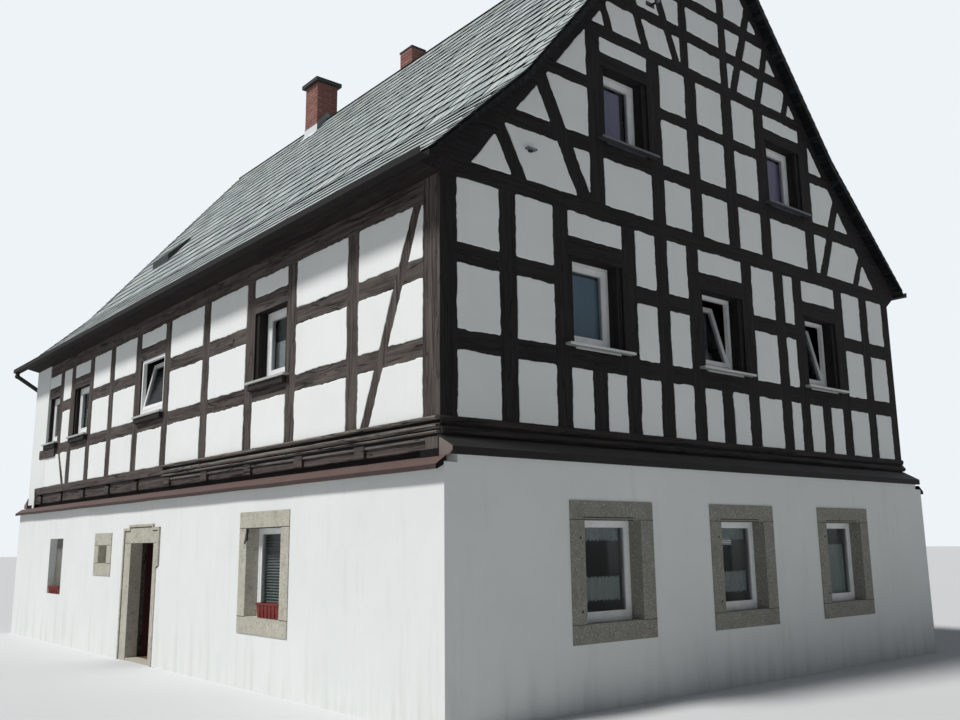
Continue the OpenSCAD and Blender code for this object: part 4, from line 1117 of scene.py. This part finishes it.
# boards under the metal sills of the upper long-wall windows, and the rail end on the far pier
BOARD_BACK = -0.0005
PIER_RAIL = (13.140, 14.205, SILL_TOP + 0.605, SILL_TOP + 0.790)
sill_boards = Piece("window_sill_boards", "sill_board_timber", "filler_timber")
for number, wall in enumerate(LONG_WALLS):
    for k, (start, end) in enumerate(EAVES_WINDOWS):
        beyond = 0.030 if k < 3 else -0.004
        rough_board(sill_boards, wall, start - 0.030, end + beyond, EAVES_SILL - 0.075, EAVES_SILL + 0.018,
            -0.070, BOARD_BACK, 200 + number * 9 + k, 0.006)
    rough_board(sill_boards, wall, *PIER_RAIL, -0.046, BOARD_BACK, 230 + number, 0.008, 0.07, 1)
sill_boards.make("grey_timber")

# the ramp of plaster over the far pier's joint
RAMP = [(13.790, -0.0088), (13.900, -0.0206), (13.900, 0.010), (13.790, 0.010)]
lap = Piece("pier_plaster_lap", "pier_plaster")
for wall in LONG_WALLS:
    lap.prism([on_wall(wall, a, d, SILL_TOP + 0.004) for a, d in RAMP], (0, 0, 0.62))
lap.make("plaster_wall")

# entrance portal: a raised border with a groove inside it painted dark as painted shade, stepped over the
# lintel
jambs_lo, jambs_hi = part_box("door_jambs")
HEAD = jambs_hi[2]
NEAR, FAR = jambs_lo[1] - FRONT_Y, jambs_hi[1] - FRONT_Y
CREST_NEAR, CREST_FAR = 7.188, 8.225
PORTAL_TOP = HEAD + 0.239
CREST_TOP = PORTAL_TOP + 0.053
BORDER, GROOVE, RAISED, SUNK = 0.052, 0.014, 0.016, 0.0015
STEP = 0.062
THIN = 0.8
SHOULDER = PORTAL_TOP - 0.046
CROWN = CREST_TOP - 0.040
IN_NEAR, IN_FAR = CREST_NEAR + 0.042, CREST_FAR - 0.042
DOOR_NEAR, DOOR_FAR = 7.165, 8.136
# the near jamb's border steps back below this height, where plaster laps over it
LAP_TOP = 1.475
portal = Piece("portal_border", "granite", "mortar_and_painted_shade", "limewash")
low_near = NEAR + STEP
low_inner = low_near + BORDER * THIN
RIMS = (
    (CREST_NEAR, CREST_FAR, CROWN, CREST_TOP),
    (NEAR, CREST_NEAR, SHOULDER, PORTAL_TOP),
    (CREST_FAR, FAR, SHOULDER, PORTAL_TOP),
    (CREST_NEAR, IN_NEAR, SHOULDER, CROWN),
    (IN_FAR, CREST_FAR, SHOULDER, CROWN),
    (NEAR, NEAR + BORDER, LAP_TOP, SHOULDER),
    (FAR - BORDER, FAR, 0.0, SHOULDER),
    (low_near, low_inner, 0.0, LAP_TOP),
)
GROOVES = (
    (IN_NEAR, IN_FAR, CROWN - GROOVE, CROWN, SUNK),
    (NEAR + BORDER, IN_NEAR, SHOULDER - GROOVE, SHOULDER, SUNK),
    (IN_FAR, FAR - BORDER, SHOULDER - GROOVE, SHOULDER, SUNK),
    (NEAR + BORDER, NEAR + BORDER + GROOVE, LAP_TOP, SHOULDER - GROOVE, SUNK),
    (FAR - BORDER - GROOVE, FAR - BORDER, 0.0, SHOULDER - GROOVE, SUNK),
    (low_inner, low_inner + GROOVE * THIN, 0.0, LAP_TOP, SUNK),
    (NEAR + 0.020, low_near + 0.004, LAP_TOP - 0.020, LAP_TOP + 0.002, 0.0135),
    (NEAR + BORDER, DOOR_NEAR, HEAD - 0.004, HEAD + 0.004, SUNK),
    (DOOR_FAR, FAR - BORDER, HEAD - 0.004, HEAD + 0.004, SUNK),
)
for a0, a1, z0, z1 in RIMS:
    portal.wall_box("left", a0, a1, SIDE_STONE - RAISED, SIDE_STONE + 0.004, z0, z1)
# the grooves take the dark mortar tone: painted shade
for a0, a1, z0, z1, raised in GROOVES:
    portal.wall_box("left", a0, a1, SIDE_STONE - raised, SIDE_STONE + 0.004, z0, z1, 1)
PORTAL_LAP = [(NEAR - 0.080, -SIDE_STEP - 0.0005), (NEAR - 0.005, SIDE_STONE - 0.002),
    (low_near, SIDE_STONE - 0.003), (low_near, SIDE_STONE + 0.02), (NEAR - 0.080, SIDE_STONE + 0.02)]
portal.prism([on_wall("left", a, d, 0.0) for a, d in PORTAL_LAP], (0, 0, LAP_TOP - 0.007), 2)
portal.make("granite", bevel=0.003)

# grooves under the ground-floor lintels, painted dark as painted shade, and a dark patch in the near
# window's far jamb that is the painted shadow of a chip
CHIP = [(3.960, 1.985), (4.000, 1.985), (3.992, 1.940), (4.006, 1.900), (4.018, 1.850), (4.050, 1.800),
    (4.044, 1.780), (3.990, 1.800), (3.972, 1.830)]
# foot of the front lintels
LINTEL = 2.006
grooves = Piece("lintel_grooves", "mortar_and_painted_shade", "granite")
for wall in GABLES:
    back = FRONT_STONE + 0.022
    for middle in FRONT_WINDOWS:
        a0, a1 = middle - FRONT_CLEAR / 2 - 0.012, middle + FRONT_CLEAR / 2 - 0.115
        grooves.wall_box(wall, a0, a1, FRONT_STONE - 0.0015, back, LINTEL + 0.018, LINTEL + 0.028)
        grooves.wall_box(wall, a0, a1, FRONT_STONE - 0.0005, back, LINTEL - 0.010, LINTEL)
        grooves.wall_box(wall, a0, a1 + 0.09, FRONT_STONE - 0.004, back, LINTEL, LINTEL + 0.016, 1)
for wall in LONG_WALLS:
    grooves.wall_box(wall, NEAR_WINDOW[0] - 0.013, NEAR_WINDOW[1] + 0.010, SIDE_STONE - 0.0025,
        SIDE_STONE + 0.022, 1.978, 1.992)
    # the chip is a flat dark patch on the stone: a painted shadow
    chip = [on_wall(wall, a, SIDE_STONE - 0.0018, z) for a, z in CHIP]
    grooves.prism(chip, OUT[wall] * -0.02)
grooves.make("granite")

# flower boxes with a rim and ribs, inside the reveals of the near and far windows: ends, heights and depths
FLOWER_BOXES = ((3.075, 3.650, 0.885, 1.065, -0.118, 0.030), (11.880, 12.560, 0.907, 1.050, -0.118, 0.010))
TAPER = 0.012
RIBS = 5
RIM = 0.026
boxes = Piece("window_flower_boxes", "flower_box_red", "box_soil")
for a0, a1, z0, z1, d0, d1 in FLOWER_BOXES:
    points = []
    for inset, z in ((TAPER, z0), (0.0, z1 - 0.012)):
        points += [on_wall("left", a, d, z) for a, d in ((a0 + inset, d0 + inset), (a1 - inset, d0 + inset),
            (a1 - inset, d1 - inset), (a0 + inset, d1 - inset))]
    boxes.add(points, [[0, 1, 2, 3]] + skin(2, 4))
    for b0, b1, e0, e1 in (
        (a0 - 0.006, a1 + 0.006, d0 - 0.008, d0 + 0.010),
        (a0 - 0.006, a1 + 0.006, d1 - 0.010, d1 + 0.004),
        (a0 - 0.006, a0 + 0.010, d0, d1),
        (a1 - 0.010, a1 + 0.006, d0, d1),
    ):
        boxes.wall_box("left", b0, b1, e0, e1, z1 - RIM, z1)
    boxes.wall_box("left", a0 + 0.008, a1 - 0.008, d0 + 0.008, d1 - 0.008, z1 - 0.040, z1 - 0.022, 1)
    for k in range(1, RIBS + 1):
        a = a0 + (a1 - a0) * k / (RIBS + 1)
        boxes.wall_box("left", a - 0.006, a + 0.006, d0 - 0.004, d0 + 0.012, z0 + 0.012, z1 - RIM)
boxes.make("red_door", "flower_boxes", bevel=0.002)

# far ground-floor window: an infill board in front of the glass; near window: a slatted blind behind it
SLAT = ((0.118, 0.0), (0.138, 0.018), (0.1385, 0.020), (0.1185, 0.002))
SLAT_PITCH = 0.036
BLIND_START, BLIND_WIDTH, BLIND_FOOT, BLIND_HEAD = 3.090, 0.848, 0.950, 1.930
FAR_BOARD = (11.818, 12.648, 0.960, 1.947)
blinds = Piece("boards_and_blinds", "infill_board", "blind_slats")
for wall in LONG_WALLS:
    rough_board(blinds, wall, *FAR_BOARD, 0.022, 0.034, 300, 0.003, 0.1)
    z = BLIND_FOOT
    while z < BLIND_HEAD:
        blinds.prism([on_wall(wall, BLIND_START, d, z + lift) for d, lift in SLAT], (0, BLIND_WIDTH, 0), 1)
        z += SLAT_PITCH
blinds.make("white_frame")

# curtains: sheets that hang in folds behind the glass, some with a zigzag hem and a scalloped head
FOLD = 0.11
TOOTH = 0.030


def curtain(name, kind, wall, a0, a1, z0, z1, d, full, teeth=0, crest=0.0):
    piece = Piece(name, kind)
    across = max(24, int((a1 - a0) / 0.012))
    rows = 8
    waves = max(3, round((a1 - a0) / FOLD))
    swing = (a1 - a0) / waves * math.sqrt(full - 1.0) * 0.42
    points = []
    for r in range(rows + 1):
        for k in range(across + 1):
            share = k / across
            fold = math.sin(share * waves * 2 * math.pi) * swing * (0.55 + 0.45 * r / rows)
            low = z0 + (TOOTH * abs((share * teeth) % 1.0 * 2 - 1) if teeth else 0.0)
            high = z1 - crest * (1 - abs(math.sin(share * teeth * math.pi)))
            z = high + (low - high) * r / rows
            points.append(on_wall(wall, a0 + (a1 - a0) * share, d + 0.012 + fold * 0.5, z))
    wide = across + 1
    faces = [[r * wide + k, r * wide + k + 1, (r + 1) * wide + k + 1, (r + 1) * wide + k]
        for r in range(rows) for k in range(across)]
    piece.add(points, faces)
    made = piece.make("white_frame", smooth=True)


# ground floor: half the width of a gable window's glass, and the curtains' heights, depth and fullness
GLASS_HALF = 0.345
LONG_NET, HALF_NET, VALANCE = (0.985, 1.700), (1.105, 1.385), (1.765, 1.925)
CLOSE = 0.012
TEETH = 11
NET_FULL = 1.35
for wall in GABLES:
    for number, middle in enumerate(FRONT_WINDOWS):
        span = (wall, middle - GLASS_HALF, middle + GLASS_HALF)
        tag = "%s_%d" % (wall, number + 1)
        if wall == "front" and number < 2:
            curtain("valance_" + tag, "lace_curtain", *span, *VALANCE, CLOSE, 1.02, TEETH)
            curtain("half_curtain_" + tag, "net_curtain", *span, *HALF_NET, CLOSE, 1.15, TEETH, TOOTH)
        else:
            curtain("curtain_" + tag, "net_curtain", *span, *LONG_NET, CLOSE, NET_FULL)
curtain("curtain_right_near", "net_curtain", "right", 3.120, 3.910, *LONG_NET, 0.150, NET_FULL)

# clear of the frames' stiles and rails
INSET, UP, DOWN = 0.14, 0.16, 0.13
UPPER_HEIGHTS = (SILL_TOP + 0.935 + UP, SILL_TOP + 2.060 - DOWN)
ATTIC_HEIGHTS = (SILL_TOP + 3.665 + UP, SILL_TOP + 4.725 - DOWN)
# depths of the curtains behind shut windows and behind the two that stand tilted in
SHUT, TILTED = 0.262, 0.520
for wall in GABLES:
    for number, (start, end) in enumerate(UPPER_GABLE):
        kind = "printed_curtain" if number else "blue_net_curtain"
        back = TILTED if number and wall == "front" else SHUT
        curtain("upper_curtain_%s_%d" % (wall, number + 1), kind, wall, start + INSET, end - INSET,
            *UPPER_HEIGHTS, back, 1.2)
    for number, (start, end) in enumerate(ATTIC):
        last = start + INSET + (end - start - 2 * INSET) * (1.0 if number else 0.80)
        curtain("attic_curtain_%s_%d" % (wall, number + 1), "lavender_curtain", wall, start + INSET, last,
            *ATTIC_HEIGHTS, SHUT, 1.15)
# the second window of each long wall has no curtain
EAVES_DEPTHS = {0: 0.255, 2: 0.195, 3: 0.195}
for wall in LONG_WALLS:
    for number, back in EAVES_DEPTHS.items():
        start, end = EAVES_WINDOWS[number]
        curtain("long_wall_curtain_%s_%d" % (wall, number + 1), "net_curtain", wall, start + 0.13,
            end - 0.13, EAVES_SILL + 0.17, EAVES_SILL + 0.62, back, NET_FULL)

# small brackets left of the attic window and under the gable's top
brackets = Piece("light_brackets", "iron", "lead_painted_shade_and_lamp_metal")
for bracket in (
    (1.245, 1.385, -0.070, -0.004, 6.236, 6.256, 1),
    (1.290, 1.340, -0.040, -0.004, 6.215, 6.238),
    (3.560, 3.720, -0.020, -0.004, 8.975, 9.035),
    (3.640, 3.665, -0.130, -0.010, 8.990, 9.010),
):
    brackets.wall_box("front", *bracket)
lamp = [on_wall("front", a, -0.160, z) for a, z in circle(3.6525, 9.0, 0.022)]
brackets.prism(lamp, OUT["front"] * -0.035, 1)
brackets.make("ridge_metal")

# plain floor
FLOOR = 250
floor_coat = Coat("studio_floor", (205, 207, 209), rough=0.9, specular=0.2)
floor_coat.cover(floor_coat.noise(0.4, 3, 0.5), (209, 211, 212))
floor_mesh = bpy.data.meshes.new("floor")
floor_mesh.from_pydata([(-FLOOR, -FLOOR, 0), (FLOOR, -FLOOR, 0), (FLOOR, FLOOR, 0), (-FLOOR, FLOOR, 0)],
    [], [(0, 1, 2, 3)])
floor_mesh.materials.append(floor_coat.material)
floor = bpy.data.objects.new("floor", floor_mesh)
scene.collection.objects.link(floor)

# a pale sky, dimmer as a light than as a backdrop
world = bpy.data.worlds.new("world")
scene.world = world
world.use_nodes = True
nodes = world.node_tree.nodes
light = feed(nodes["Background"], {"Color": colour(226, 234, 244), "Strength": 0.14})
seen = feed(nodes.new("ShaderNodeBackground"), {"Color": colour(238, 243, 248), "Strength": 1.0})
rays = nodes.new("ShaderNodeLightPath").outputs
direct = rays["Is Camera Ray"]
for kind in ("Is Glossy Ray", "Is Transmission Ray"):
    either = nodes.new("ShaderNodeMath")
    either.operation = "MAXIMUM"
    direct = feed(either, {0: direct, 1: rays[kind]})
sky = feed(nodes.new("ShaderNodeMixShader"), {0: direct, 1: light, 2: seen})
world.node_tree.links.new(sky, nodes["World Output"].inputs["Surface"])

# a soft sun from the left, a little behind the front gable
SUN_FROM = Vector((-1.0, 0.20, 1.45))
sun_data = bpy.data.lights.new("key", "SUN")
sun_data.energy = 3.30
sun_data.angle = math.radians(9)
sun_data.color = (1.0, 0.985, 0.96)
sun = bpy.data.objects.new("key", sun_data)
scene.collection.objects.link(sun)
sun.rotation_euler = SUN_FROM.to_track_quat("Z", "Y").to_euler()

scene.view_settings.view_transform = "Standard"
